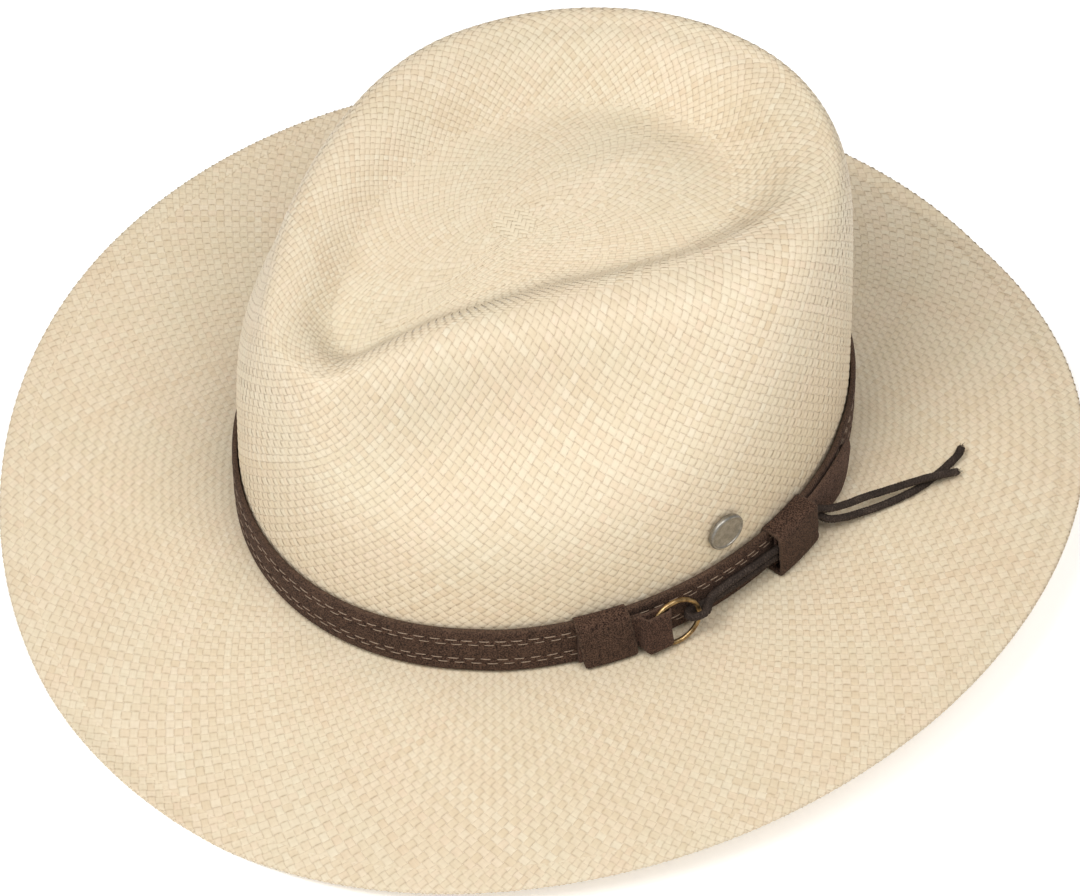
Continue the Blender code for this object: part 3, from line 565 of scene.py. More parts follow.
def weave(name, g, w0, w1, count, along_meridian=True, amp=0.00016, arch=0.00010, fill=0.475, sub=2, taper=0.0, sign=1.0,
          seed=1, gap=0.93, tone=0.0, lift=0.0, phase=0, holes=None):
    """Two families of straws over the grid g between levels w0 and w1, over one and under one, each straw its own ribbon."""
    rng = np.random.default_rng(seed)
    nrm = normals_of(g, sign)
    lev = levels(g)
    rows = np.arange(len(lev))
    span = 2 * count * (w1 - w0)
    q = np.r_[np.arange(0, int(np.floor(span * sub)) + 1) / sub, span]
    if q[-1] - q[-2] < 0.15 / sub:
        q = np.r_[q[:-2], span]
    made = []
    for family in (0, 1):
        a = np.arange(count)[:, None, None]
        x = q[None, :, None]
        d = np.array([-1.0, -0.5, 0.5, 1.0])[None, None, :] * fill
        if holes is not None:
            d = d * (1 - holes * np.exp(-((x / 1.6) ** 2)))
        if family == 0:
            xx, uu = x + d, (2 * a - x + d) / (2 * count)
        else:
            xx, uu = x - d, (2 * a + x + d) / (2 * count)
        xx = np.clip(xx, 0, span)
        uu = uu + 0 * xx
        r = np.interp(w0 + xx / (2 * count), lev, rows)
        p, n = sample(g, r, uu), sample(nrm, r, uu)
        n /= np.linalg.norm(n, axis=-1)[..., None]

        def over(k):
            hit = np.broadcast_to(np.mod(k + phase, 2) < 1, (count, len(q)))
            v = np.where(hit, 1.0, -1.0)
            return v if family == 0 else -v

        k0, k1 = np.floor(q)[None, :], np.ceil(q)[None, :]
        f = q[None, :] - k0
        f = f * f * (3 - 2 * f)
        z = over(k0) * (1 - f) + over(k1) * f
        across = np.array([-1.0, -0.5, 0.5, 1.0])
        cell = 0.0021
        wob = rng.normal(0, 0.00002, (count, 1)) + 0 * z
        height = (z * amp + wob)[..., None] + arch * (1 - across[None, None, :] ** 2) * np.where(z > 0, 1, 0.6)[..., None] - arch * 0.5 + lift
        if taper:
            height = height - taper * 0
        v = p + n * height[..., None]
        rand = rng.beta(2.2, 2.0, count)[:, None]
        drift = np.cumsum(rng.normal(0, 0.05, (count, len(q))), 1)
        drift = drift - drift.mean(1, keepdims=True)
        tint = np.clip(0.5 + (rand - 0.5) * 0.55 + drift * 0.22 + tone, 0, 1)
        hue = np.clip(rng.beta(1.2, 3.2, count)[:, None] + 0 * tint + rng.normal(0, 0.04, tint.shape), 0, 1)
        shp = v.shape[:3]
        # edge and dip feed the straw material's painted shade: darker at each straw's edges and where it goes under
        edge = np.broadcast_to(np.abs(across)[None, None, :] * gap, shp)
        dip = np.broadcast_to((0.5 - 0.5 * z)[..., None], shp)
        strand = np.stack([np.broadcast_to(across[None, None, :] * 0.001 + (a * 0.0137), shp),
                           np.broadcast_to(x * cell + a * 0.37, shp), np.zeros(shp)], -1)
        uv = np.stack([np.broadcast_to((family + (a + 0.5 + across[None, None, :] * 0.42) / count) * 0.5, shp),
                       np.broadcast_to(0.002 + 0.996 * x / span, shp)], -1)
        nq = len(q)
        quads = grid_quads(nq, 4)
        if family == 1:
            quads = quads[:, ::-1]
        quads = (quads[None] + (np.arange(count) * nq * 4)[:, None, None]).reshape(-1, 4)
        made.append((v.reshape(-1, 3), quads, np.broadcast_to(tint[..., None], shp).reshape(-1), np.broadcast_to(hue[..., None], shp).reshape(-1),
                     edge.reshape(-1), dip.reshape(-1), strand.reshape(-1, 3), uv.reshape(-1, 2)))
    v = np.vstack([m[0] for m in made])
    quads = np.vstack([made[0][1], made[1][1] + len(made[0][0])])
    return mesh(name, v, quads, STRAW, uvs={"OFBake": np.vstack([m[7] for m in made])},
                attributes={"tint": np.concatenate([m[2] for m in made]), "hue": np.concatenate([m[3] for m in made]),
                            "edge": np.concatenate([m[4] for m in made]), "dip": np.concatenate([m[5] for m in made]),
                            "strand": np.vstack([m[6] for m in made])})


# brim: rows from the foot to where the edge is woven back
EDGE_W = 0.0075
T_EDGE = 1 - EDGE_W / 0.0765
g_brim = brim(U, np.linspace(0, T_EDGE + 0.012, 70)) - [0, 0, STRAW_T * 0.14]
# its first row reaches just under the crown's wall, so no gap shows from below
g_brim = np.concatenate([(g_brim[0] - np.c_[outward(loops(U)[0]) * 0.0009, np.zeros(len(U))])[None], g_brim], 0)
lev = levels(g_brim)
weave("straw_brim", g_brim, 0.0, lev[-1], 252, along_meridian=True, sign=-1.0, seed=3)
# the edge, woven back on itself: up over the brim, round the rim and in again below
t_up = np.linspace(T_EDGE, 0.9955, 10)
up_face, low_face = brim(U, t_up), brim(U, t_up[::-1])
rim = []
for k in range(1, 6):
    a = pi * k / 6
    rim.append(brim(U, np.array([0.9955 + 0.0070 * sin(a)]))[0] + [0, 0, -STRAW_T * (0.5 - 0.5 * cos(a))])
g_edge = np.concatenate([up_face, np.array(rim), low_face - [0, 0, STRAW_T]], 0)
lev = levels(g_edge)
weave("straw_brim_edge", g_edge, 0.0, lev[-1], 320, along_meridian=False, sign=-1.0, seed=5, amp=0.00013, arch=0.00010, tone=-0.02, lift=0.00004)

# crown: the wall, then over the crest and in towards the middle of the top
g_wall = wall(U, np.linspace(0, 1, 120))
tt = np.concatenate([np.linspace(0, 0.985, 90)])
tu = np.arange(360) / 360
g_top = top(tu, tt)
tv = g_top.reshape(-1, 3)
tf = grid_quads(90, 360, wrap_n=True)
a = np.arange(180)
closing = np.stack([89 * 360 + a % 360, 89 * 360 + (a + 1) % 360, 89 * 360 + (360 - a - 1) % 360, 89 * 360 + (360 - a) % 360], 1)
tree = BVHTree.FromPolygons([tuple(map(float, p)) for p in tv], [tuple(dict.fromkeys(map(int, f))) for f in np.vstack([tf, closing])])
CENTRE = np.array([-0.0050, -0.0080])
_, crest_u, _ = loops(U)
_, spine_u = spine_of(U)
tau = np.linspace(0.0, 0.97, 110) ** 1.0
rows_ = []
for t in tau:
    b = t * t * (3 - 2 * t)
    aim = spine_u[:, :2] * (1 - b) + CENTRE * b
    xy = crest_u[:, :2] * (1 - t) + aim * t
    if t == 0:
        z = crest_u[:, 2] + DATUM_Z
    else:
        z = np.array([(tree.ray_cast(Vector((float(x), float(y), 0.3)), Vector((0, 0, -1)))[0] or Vector((0, 0, 0.12)))[2] for x, y in xy])
    rows_.append(np.c_[xy, z])
g_in = np.array(rows_)
for _ in range(3):      # ease the heights over the dome's spine
    sm = g_in.copy()
    sm[8:-1, :, 2] = 0.25 * g_in[7:-2, :, 2] + 0.5 * g_in[8:-1, :, 2] + 0.25 * g_in[9:, :, 2]
    c = sm[8:-1, :-1, 2]
    sm[8:-1, :-1, 2] = 0.25 * np.roll(c, 1, 1) + 0.5 * c + 0.25 * np.roll(c, -1, 1)
    sm[:, -1] = sm[:, 0]
    g_in = sm
g_crown = np.concatenate([g_wall, g_in[1:]], 0)
lev = levels(g_crown)
size = ring_sizes(g_crown)
crest_row = len(g_wall) - 1
N_CROWN = 160


def row_where(length):
    k = np.where((np.arange(len(size)) > crest_row) & (size < length))[0]
    return k[0]


cuts, counts = [0.0], [N_CROWN]
length, n = 0.352, N_CROWN
while length > 0.05:
    cuts.append(lev[row_where(length)])
    n = int(round(n * 0.745 / 4) * 4)
    counts.append(n)
    length *= 0.745
cuts.append(lev[-1])
inwards = normals_of(g_crown, 1.0)
crown_sign = 1.0 if (inwards[crest_row // 2, 0] * [0, -1, 0]).sum() > 0 else -1.0
for k, n in enumerate(counts):
    lap = 0.7 / (2 * n)          # each zone reaches a little under the next
    weave("straw_crown_%d" % k, g_crown, cuts[k] - (lap if k else 0), min(cuts[k + 1] + lap, lev[-1]), n, along_meridian=(k == 0), sign=crown_sign, seed=11 + k,
                       amp=0.00017 if k == 0 else 0.00013, gap=1.0 if k == 0 else 0.95, lift=-0.00045 - 0.00005 * (k % 2))
# the button at the middle, where the weave begins
mid = g_crown[-1, :-1]
hub = Parts()
c0 = mid.mean(0)
for k in range(-4, 5):
    for family in (0, 1):
        L = 0.0072
        s = np.linspace(-L, L, 26)
        offset = k * 0.0014
        if abs(offset) > 0.0056:
            continue
        half = np.sqrt(max(0.0062**2 - offset**2, 1e-8))
        s = np.linspace(-half, half, 22)
        z = 0.00014 * np.sign(np.sin((s / 0.0014 + k + 0.5) * pi / 2) + 1e-9) * (1 if family == 0 else -1)
        for w_, e_ in ((0, 0),):
            cols = []
            for x_ in (-0.00062, -0.0003, 0.0003, 0.00062):
                a_ = np.stack([s, np.full_like(s, offset + x_)], 1) if family == 0 else np.stack([np.full_like(s, offset + x_), s], 1)
                ang = radians(38)
                xy = c0[:2] + np.c_[a_[:, 0] * cos(ang) - a_[:, 1] * sin(ang), a_[:, 0] * sin(ang) + a_[:, 1] * cos(ang)]
                zz = np.array([(tree.ray_cast(Vector((float(x), float(y), 0.3)), Vector((0, 0, -1)))[0] or Vector((0, 0, 0.12)))[2] for x, y in xy])
                cols.append(np.c_[xy, zz - 0.0004 + z + (0.00010 if abs(x_) < 0.0004 else 0)])
            cols = np.array(cols).transpose(1, 0, 2)
            e4 = np.broadcast_to(np.array([1, .5, .5, 1.0])[None], cols.shape[:2]).reshape(-1)
            # edge and dip here also feed the straw material's painted shade at the edges and where a straw goes under
            hub.add(cols, grid_quads(len(s), 4), tint=np.full(cols.shape[0] * 4, RNG.uniform(0.45, 0.62)), hue=np.full(cols.shape[0] * 4, RNG.uniform(0, 0.15)),
                    edge=e4 * 0.8, dip=np.broadcast_to((0.25 - 0.25 * np.sign(z))[:, None], cols.shape[:2]).reshape(-1),
                    strand=np.stack([np.tile([-0.001, -0.0005, 0.0005, 0.001], len(s)), np.repeat(s, 4), np.zeros(4 * len(s))], 1))
hub.make("straw_crown_middle", STRAW)
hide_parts("straw_body")

# ================================================================ hat band and its stitching
def band_offset(s):
    s = (np.asarray(s, float) + PERIMETER / 2) % PERIMETER - PERIMETER / 2
    beyond = np.maximum(KEEPER_FRONT - KEEPER_W / 2 - s, s - KEEPER_REAR - KEEPER_W / 2)
    d = np.clip((beyond - 0.020) / 0.014, 0, 1)
    near = 1 - d * d * (3 - 2 * d)
    return BAND_OFF + (BAND_OFF_KEEPER - BAND_OFF) * near


STITCH_PITCH, STITCH_LEN = 0.0050, 0.0037
BS = np.linspace(-PERIMETER / 2, PERIMETER / 2, 1800, endpoint=False)
off = band_offset(BS)
T = 0.0016
inner = 0.0002 + 0.0 * off + (off - BAND_OFF) * 0.8
profile = [(0.0, 0.0), (0.0, 0.25), (0.0, 0.6), (0.0003, 0.88), (0.0008, 1.0)]
heights = [(-0.0, 0.0, 1), (0.00005, 0.45, 1), (0.0003, 0.82, 0.6), (0.0008, 1.0, 0.1)]
hs, os_, raws = [], [], []
low = [(BAND_H0 - 0.0006 + a, b, c) for a, b, c in heights]
high = [(BAND_H1 + 0.0002 - a, b, c) for a, b, c in heights[::-1]]
mids = []
for h in np.linspace(BAND_H0 + 0.0008, BAND_H1 - 0.0012, 58):
    groove = sum(0.00022 * np.exp(-(((h - r) / 0.00042) ** 2)) for r in ROWS)
    swell = 0.00012 * np.exp(-(((h - 0.0141) / 0.0006) ** 2)) + 0.00012 * np.exp(-(((h - 0.0059) / 0.0006) ** 2)) + 0.00010 * np.exp(-(((h - 0.0100) / 0.0030) ** 2))
    mids.append((h, 1.0 + (swell - groove) / T, 0.0))
line = low + mids + high
g_band = np.array([on_band(BS, h, inner + T * o) for h, o, r in line])
back_line = [(BAND_H1 + 0.0002, 0.0, 1), (BAND_H0 - 0.0006, 0.0, 1)]
raw = np.repeat([r for _, _, r in line], len(BS))
# small dents between the stitches, where the thread goes in
ripple = 0.5 + 0.5 * np.cos(2 * pi * (BS + 0.0) / STITCH_PITCH)
for k, (h, o, r) in enumerate(line):
    pull = sum(np.exp(-(((h - rr) / 0.0006) ** 2)) for rr in ROWS)
    if pull > 0.01 and 4 <= k < len(line) - 4:
        j = on_band(BS, h, inner + T * o - 0.00016 * pull * ripple**6)
        g_band[k] = j
mesh("hat_band", g_band.reshape(-1, 3), grid_quads(len(line), len(BS), wrap_n=True, wrap_m=True)[:, ::-1], SUEDE, attributes={"raw": raw}, replaces=["hat_band"])

for r_i, h in enumerate(ROWS):
    n = int(round(PERIMETER / STITCH_PITCH))
    shift = (0.0, 0.35, 0.1, 0.5)[r_i]
    part = Parts()
    for k in range(n):
        s0 = (k + shift) / n * PERIMETER - PERIMETER / 2 + RNG.normal(0, 0.00008)
        ln = STITCH_LEN * RNG.uniform(0.93, 1.05)
        m = 11
        t = np.linspace(-1, 1, m)
        s = s0 + t * ln / 2
        hh = h + RNG.normal(0, 0.00006) + t * RNG.normal(0.00003, 0.00005)
        dip = 0.00042 * np.abs(t) ** 5
        o = 0.0002 + (band_offset(s) - BAND_OFF) * 0.8 + T - 0.00008 - dip
        v, f, _ = tube(on_band(s, hh, o), 0.00018 * (1 - 0.25 * np.abs(t) ** 6), n=6)
        part.add(v, f)
    part.make("band_stitches_%d" % (r_i + 1), THREAD, replaces=["band_thread_%d" % (r_i + 1)])


# ================================================================ the trim
def strip(name, centre_line, h0, h1, thickness, mat, body="hat", replaces=(), closed=False, edge=0.00022, nh=14, belly=0.0, shear=0.0, s_mid=0.0):
    """A strap: centre_line(h) gives points (s, off) along it for a height, and the strap has soft cut edges."""
    rows_v, raw_v = [], []
    hh = np.linspace(0, 1, nh)
    outer_pts, inner_pts, rawo = [], [], []
    for q in hh:
        h = h0 + (h1 - h0) * q
        sl = np.array(centre_line(h))
        e = min(q, 1 - q) * (h1 - h0)
        th = thickness * (0.5 + 0.5 * min(1.0, (e / 0.0006)) ** 0.5) if e < 0.0006 else thickness
        d = np.gradient(sl, axis=0)
        if closed:
            d = np.roll(sl, -1, 0) - np.roll(sl, 1, 0)
        nn = np.stack([-d[:, 1], d[:, 0]], 1)
        nn /= np.linalg.norm(nn, axis=1)[:, None]
        outer_pts.append((sl[:, 0] + nn[:, 0] * th / 2, np.full(len(sl), h), sl[:, 1] + nn[:, 1] * th / 2))
        inner_pts.append((sl[:, 0] - nn[:, 0] * th / 2, np.full(len(sl), h), sl[:, 1] - nn[:, 1] * th / 2))
        rawo.append(1.0 if e < 0.0002 else 0.0)
    m = len(outer_pts[0][0])
    rings_ = []
    for o, i in zip(outer_pts, inner_pts):
        rings_.append(on_band(*o))
    for i in inner_pts[::-1]:
        rings_.append(on_band(*i))
    g = np.array(rings_)
    raw_ = np.repeat(rawo + rawo[::-1], m)
    f = grid_quads(2 * nh, m, wrap_n=closed, wrap_m=True)
    if not closed:
        ends = []
        for col in (0, m - 1):
            for i in range(nh - 1):
                q = [i * m + col, (i + 1) * m + col, (2 * nh - 2 - i) * m + col, (2 * nh - 1 - i) * m + col]
                ends.append(q if col == 0 else q[::-1])
        f = np.vstack([f, ends])
    return mesh(name, g.reshape(-1, 3), f, mat, attributes={"raw": raw_}, body=body, replaces=replaces)


def loop_keeper(name, centre, front_top, front_low, shear, body, seed, width=KEEPER_W):
    """A keeper: a loop of suede round the band, bowed and a little uneven, its cut sides showing."""
    wave = lambda x: np.sin(x) + 0.6 * np.sin(2.3 * x + 1.0)
    top_h, low_h = BAND_H1 + 0.00062, BAND_H0 - 0.00045
    back = 0.00045
    ft, fl = front_top + 0.0002, front_low + 0.0002
    corners = [(back, low_h), (back, top_h), (ft, top_h), (fl, low_h)]
    # mid line of the strap, rounded
    pts = []
    for i, c in enumerate(corners):
        c = np.array(c)
        a, b = np.array(corners[i - 1]) - c, np.array(corners[(i + 1) % 4]) - c
        r = 0.0015 if i >= 2 else 0.0006
        r = min(r, 0.45 * np.linalg.norm(a), 0.45 * np.linalg.norm(b))
        a, b = c + a / np.linalg.norm(a) * r, c + b / np.linalg.norm(b) * r
        for t in np.linspace(0, 1, 7):
            pts.append((1 - t) ** 2 * a + 2 * t * (1 - t) * c + t * t * b)
    loop = closed_loop(np.array(pts), 96)
    d = np.roll(loop, -1, 0) - np.roll(loop, 1, 0)
    nn = np.stack([d[:, 1], -d[:, 0]], 1)
    nn /= np.linalg.norm(nn, axis=1)[:, None]
    if (nn * (loop - loop.mean(0))).sum() < 0:
        nn = -nn
    th = 0.0013
    ns = 26
    cols_o, cols_i, raw_ = [], [], []
    for q in np.linspace(-1, 1, ns):
        e = (1 - abs(q)) * width / 2
        half = th / 2 * (0.72 + 0.28 * min(1.0, e / 0.0006) ** 0.5)
        front = np.clip((loop[:, 0] - 0.003) / 0.003, 0, 1)
        bow = 0.00035 * (1 - q * q) * front * np.sin(np.clip((loop[:, 1] - low_h) / (top_h - low_h), 0, 1) * pi)
        for lst, sgn in ((cols_o, 1), (cols_i, -1)):
            p = loop + nn * (half * sgn)
            s = centre + q * (width / 2 + 0.00012 * wave(p[:, 1] * 900 + seed)) + shear * (p[:, 1] - 0.0102)
            lst.append(on_band(s, p[:, 1], p[:, 0] + bow))
        raw_.append(np.full(len(loop), 1.0 if e < 0.0002 else 0.0))
    g = np.array(cols_o + cols_i[::-1])
    f = grid_quads(2 * ns, len(loop), wrap_n=True, wrap_m=True)
    return mesh(name, g.reshape(-1, 3), f, SUEDE, attributes={"raw": np.concatenate(raw_ + raw_[::-1])}, body=body, replaces=[name])


def closed_loop(p, n):
    q = np.vstack([p, p[:1]])
    return along(q, np.arange(n) / n)


LEAF = 0.00075
THREADS_OUT = BAND_OFF_KEEPER + BAND_T + THREAD_GAP + THREAD_D
LEAF1 = THREADS_OUT + 0.0002
LEAF2 = LEAF1 + LEAF + 0.00018
FRONT_FACE = LEAF2 + LEAF + 0.0002
LEAN = np.tan(RING_LEAN * pi / 180)
TAB_H0, TAB_H1, TAB_END, TAB_FOLD = 0.0032, 0.0168, -0.0545, -0.0300
POCKET = LEAF1 + 0.0002 + LEAN * (TAB_H1 - RING_H)
ring_mid_off = POCKET + LEAF + (RING_WIRE + 0.0007) / 2
TAIL_T, TAIL_IN = 0.0009, THREADS_OUT + 0.0002
CR = CORD_D / 2
CORD_ON_TAIL = TAIL_IN + TAIL_T + 0.0002 + CR
CORD_ON_BAND = BAND_OFF_KEEPER + BAND_T + 0.00025 + CR
rear_front = CORD_ON_TAIL + CR + 0.0002

loop_keeper("front_keeper", KEEPER_FRONT, FRONT_FACE, FRONT_FACE + 0.0006, -0.14, "front_keeper", 3, width=0.0166)
loop_keeper("rear_keeper", KEEPER_REAR, rear_front, rear_front + 0.0002, -0.08, "rear_keeper", 5)

# the ring's plane: along the band, its lower edge leaning a little outwards
rc = on_band(RING_S, RING_H, ring_mid_off)
tang = on_band(RING_S + 0.004, RING_H, 0) - on_band(RING_S - 0.004, RING_H, 0)
tang[2] = 0
tang /= np.linalg.norm(tang)
out_n = np.array([tang[1], -tang[0], 0.0])
out_n = out_n if out_n[0] > 0 else -out_n
ring_axis = out_n * cos(radians(RING_LEAN)) + np.array([0, 0, sin(radians(RING_LEAN))])
ring_up = np.cross(ring_axis, tang)


def ring_plane(s, h):
    near, far = on_band(s, h, 0), on_band(s, h, 0.004)
    return float(0.004 * np.dot(rc - near, ring_axis) / np.dot(far - near, ring_axis))


def tab_line(h):
    rad = (RING_WIRE + 0.0004) / 2 + LEAF / 2

    def blend(s):
        k = np.clip((s + 0.0357) / 0.0022, 0, 1)
        return k * k * (3 - 2 * k)

    st = np.concatenate([np.linspace(TAB_END, -0.0361, 10), np.linspace(-0.0357, -0.0330, 10)])
    low_ = [(s, (LEAF1 + LEAF / 2) * (1 - blend(s)) + (ring_plane(s, h) - rad) * blend(s)) for s in st]
    fold = -0.0276 + 0.0004 * (abs(h - RING_H) / 0.0068) ** 2
    bend = [(fold + rad * cos(a), ring_plane(fold, h) + rad * sin(a)) for a in np.linspace(-pi / 2, pi / 2, 14)]
    high_ = [(s, (LEAF2 + LEAF / 2) * (1 - blend(s)) + (ring_plane(s, h) + rad) * blend(s)) for s in st[::-1]]
    return low_ + bend + high_


strip("ring_tab", tab_line, TAB_H0, TAB_H1, 0.00085, SMOOTH, replaces=["ring_tab"], nh=26)

# ring
a = 2 * pi * np.arange(120) / 120
circle = rc + RING_R * (np.cos(a)[:, None] * tang + np.sin(a)[:, None] * ring_up)
v, f, _ = tube(circle, RING_WIRE / 2, n=16, closed=True)
mesh("ring", v, f, BRASS, body="ring", replaces=["ring"])

# band tail
TAIL = [(0.0170, 0.0, 0.0026, 0.0172), (0.0260, 0.0, 0.0026, 0.0172), (0.0350, 0.0, 0.0026, 0.0172), (0.0400, 0.0003, 0.0024, 0.0172),
        (0.0460, 0.0009, 0.0022, 0.0172), (0.0520, 0.0013, 0.0022, 0.0170), (0.0570, 0.0012, 0.0030, 0.0166), (0.0610, 0.0008, 0.0052, 0.0160),
        (0.0640, 0.0004, 0.0090, 0.0150)]
tl = smooth_path(np.array(TAIL), 90)
nh = 18
g_o, g_i, raw_ = [], [], []
for q in np.linspace(0, 1, nh):
    h = tl[:, 2] + (tl[:, 3] + 0.0005 - tl[:, 2]) * q
    e = min(q, 1 - q) * 0.015
    th = 0.0010 * (0.7 + 0.3 * min(1.0, e / 0.0006) ** 0.5)
    o = TAIL_IN - 0.0001 + tl[:, 1] * (1.2 - 1.2 * q) + 0.00045
    curl = 0.0003 * np.clip((tl[:, 0] - 0.036) / 0.02, 0, 1) * (4 * q * (1 - q))
    g_o.append(on_band(tl[:, 0], h, o + th / 2 + curl))
    g_i.append(on_band(tl[:, 0], h, o - th / 2 + curl))
    raw_.append(np.full(len(tl), 1.0 if e < 0.0002 else 0.0))
g = np.array(g_o + g_i[::-1])
m = len(tl)
f = grid_quads(2 * nh, m, wrap_m=True)
ends = []
for col in (0, m - 1):
    for i in range(nh - 1):
        q = [i * m + col, (i + 1) * m + col, (2 * nh - 2 - i) * m + col, (2 * nh - 1 - i) * m + col]
        ends.append(q if col == 0 else q[::-1])
raw_ = np.array(raw_ + raw_[::-1])
raw_[:, -1] = 1.0
mesh("band_tail", g.reshape(-1, 3), np.vstack([f, ends]), TAIL_SUEDE, attributes={"raw": raw_.reshape(-1)}, replaces=["band_tail"])


# ---------------------------------------------------------------- braided cord
def braid(part, path, diameter, strands=8, lay=0.0040, step=0.00035, fray=0.0):
    """A round braid: half the strands turn one way and half the other, each going over and under the others."""
    p = np.asarray(path, float)
    L = float(np.linalg.norm(np.diff(p, axis=0), axis=1).sum())
    n = max(12, int(L / step))
    p = along(p, np.linspace(0, 1, n))
    _, _, (t, side, up) = tube(p, 0.1, n=4, caps=False)
    d = np.linspace(0, L, n)
    sr = diameter * 0.19
    core, fc, _ = tube(p, diameter * 0.30, n=8)
    part.add(core, fc)
    half = strands // 2
    for k in range(strands):
        way = 1 if k < half else -1
        ph = 2 * pi * (k % half) / half + (pi / half if way < 0 else 0)
        ang = way * 2 * pi * d / lay + ph
        over = np.cos(half * 2 * pi * d / lay + (0 if way > 0 else pi))
        r = diameter * 0.5 - sr + over * sr * 0.32
        if fray:
            open_ = np.clip((d - (L - fray)) / fray, 0, 1)
            r = r * (1 + 1.1 * open_)
        q = p + r[:, None] * (np.cos(ang)[:, None] * side + np.sin(ang)[:, None] * up)
        rr = np.full(n, sr)
        if fray:
            rr = rr * (1 - 0.25 * np.clip((d - (L - fray)) / fray, 0, 1))
        v, f, _ = tube(q, rr, n=6)
        part.add(v, f)
    return p, L


EXIT_S = KEEPER_REAR + KEEPER_W / 2 + 0.0009
WIRE_OFF = ring_mid_off + 0.00025
wire_s = RING_S + RING_R
back_off = max(WIRE_OFF - RING_WIRE / 2 - 0.0002 - CR, CORD_ON_BAND)
front_off = WIRE_OFF + RING_WIRE / 2 + 0.0002 + CR
held = [(EXIT_S, 0.0126, CORD_ON_TAIL), (0.0260, 0.0123, CORD_ON_TAIL), (0.0190, 0.0119, CORD_ON_TAIL),
        (0.0130, 0.0116, CORD_ON_TAIL - 0.0010), (0.0070, 0.0114, CORD_ON_BAND + 0.0002), (0.0000, 0.0114, CORD_ON_BAND), (-0.0060, 0.0114, CORD_ON_BAND + 0.0003),
        (-0.0112, 0.0115, CORD_ON_BAND + 0.0014), (wire_s + 0.0006, 0.0114, front_off), (wire_s - 0.0026, 0.0109, front_off - 0.0004),
        (wire_s - 0.0038, 0.0101, (front_off + back_off) / 2), (wire_s - 0.0026, 0.0092, back_off + 0.0001),
        (wire_s + 0.0008, 0.0087, back_off - 0.0002), (-0.0112, 0.0086, CORD_ON_BAND + 0.0002), (-0.0060, 0.0086, CORD_ON_BAND), (0.0000, 0.0086, CORD_ON_BAND),
        (0.0070, 0.0086, CORD_ON_BAND + 0.0002), (0.0130, 0.0087, CORD_ON_TAIL - 0.0010), (0.0190, 0.0089, CORD_ON_TAIL), (0.0260, 0.0092, CORD_ON_TAIL), (EXIT_S, 0.0095, CORD_ON_TAIL)]
part = Parts()
braid(part, smooth_path([on_band(*h) for h in held], 400), CORD_D)
part.make("tie_cord", CORD, replaces=["tie_cord"])


tail_u = [on_band(EXIT_S + 0.0005, 0.0126, CORD_ON_TAIL), on_band(EXIT_S + 0.0022, 0.0125, CORD_ON_TAIL + 0.0005)]
for x, y, z in ((0.0877, 0.0400, 0.0303), (0.0882, 0.0470, 0.0275), (0.0886, 0.0550, 0.0252), (0.0902, 0.0617, 0.0243),
                (0.0928, 0.0700, 0.0241), (0.0954, 0.0774, 0.0239), (0.0974, 0.0860, 0.0213)):
    tail_u.append(np.array([x, y, z]))
tail_l = [on_band(EXIT_S + 0.0005, 0.0095, CORD_ON_TAIL), on_band(EXIT_S + 0.0022, 0.0092, CORD_ON_TAIL + 0.0005)]
for x, y, z in ((0.0886, 0.0392, 0.0268), (0.0898, 0.0450, 0.0242), (0.0908, 0.0525, 0.0220), (0.0922, 0.0600, 0.0210),
                (0.0939, 0.0691, 0.02095), (0.0942, 0.0766, 0.02090), (0.0934, 0.0847, 0.0207), (0.0922, 0.0915, 0.0207), (0.0910, 0.0940, 0.0212)):
    tail_l.append(np.array([x, y, z]))
for name, pts, fray in (("cord_tail_upper", tail_u, 0.005), ("cord_tail_lower", tail_l, 0.0015)):
    part = Parts()
    line_, length_ = braid(part, smooth_path(pts, 300), CORD_D, fray=0)
    # a few loose fibres at the cut end
    end, way = line_[-1], line_[-1] - line_[-6]
    way /= np.linalg.norm(way)
    for _ in range(26 if fray > 0.003 else 14):
        d = way + RNG.normal(0, 0.35 if fray > 0.003 else 0.22, 3)
        d /= np.linalg.norm(d)
        st = end - way * 0.0012 + RNG.normal(0, 0.00035, 3)
        ln = RNG.uniform(0.0010, 0.0020)
        fib = np.array([st, st + way * ln * 0.5 + d * ln * 0.3, st + way * ln * 0.6 + d * ln * 0.9])
        v, f, _ = tube(smooth_path(fib, 8), np.linspace(0.00014, 0.00006, 8), n=4)
        part.add(v, f)
    o = part.make(name, CORD, replaces=[name])

# ---------------------------------------------------------------- pin badge
mid_ = on_band(BADGE_S, BADGE_H, 0)
up_dir = on_band(BADGE_S, BADGE_H + 0.006, 0) - on_band(BADGE_S, BADGE_H - 0.006, 0)
up_dir /= np.linalg.norm(up_dir)
badge_n = np.cross(on_band(BADGE_S + 0.006, BADGE_H, 0) - on_band(BADGE_S - 0.006, BADGE_H, 0), up_dir)
badge_n /= np.linalg.norm(badge_n)
badge_n = badge_n if badge_n[0] > 0 else -badge_n
badge_side = np.cross(up_dir, badge_n)
seat = mid_ + badge_n * 0.0004


def lathe(profile, centre, axis, side, n=64):
    up = np.cross(axis, side)
    a = 2 * pi * np.arange(n) / n
    v = np.array([[centre + axis * l + r * (cos(b) * side + sin(b) * up) for b in a] for r, l in profile])
    f = grid_quads(len(profile), n, wrap_n=True)
    v = v.reshape(-1, 3)
    m = len(profile)
    v = np.vstack([v, centre + axis * profile[0][1], centre + axis * profile[-1][1]])
    j = np.arange(n)
    f = np.vstack([f, np.stack([(j + 1) % n, j, np.full(n, m * n), np.full(n, -1)], 1),
                   np.stack([(m - 1) * n + j, (m - 1) * n + (j + 1) % n, np.full(n, m * n + 1), np.full(n, -1)], 1)])
    return v, f


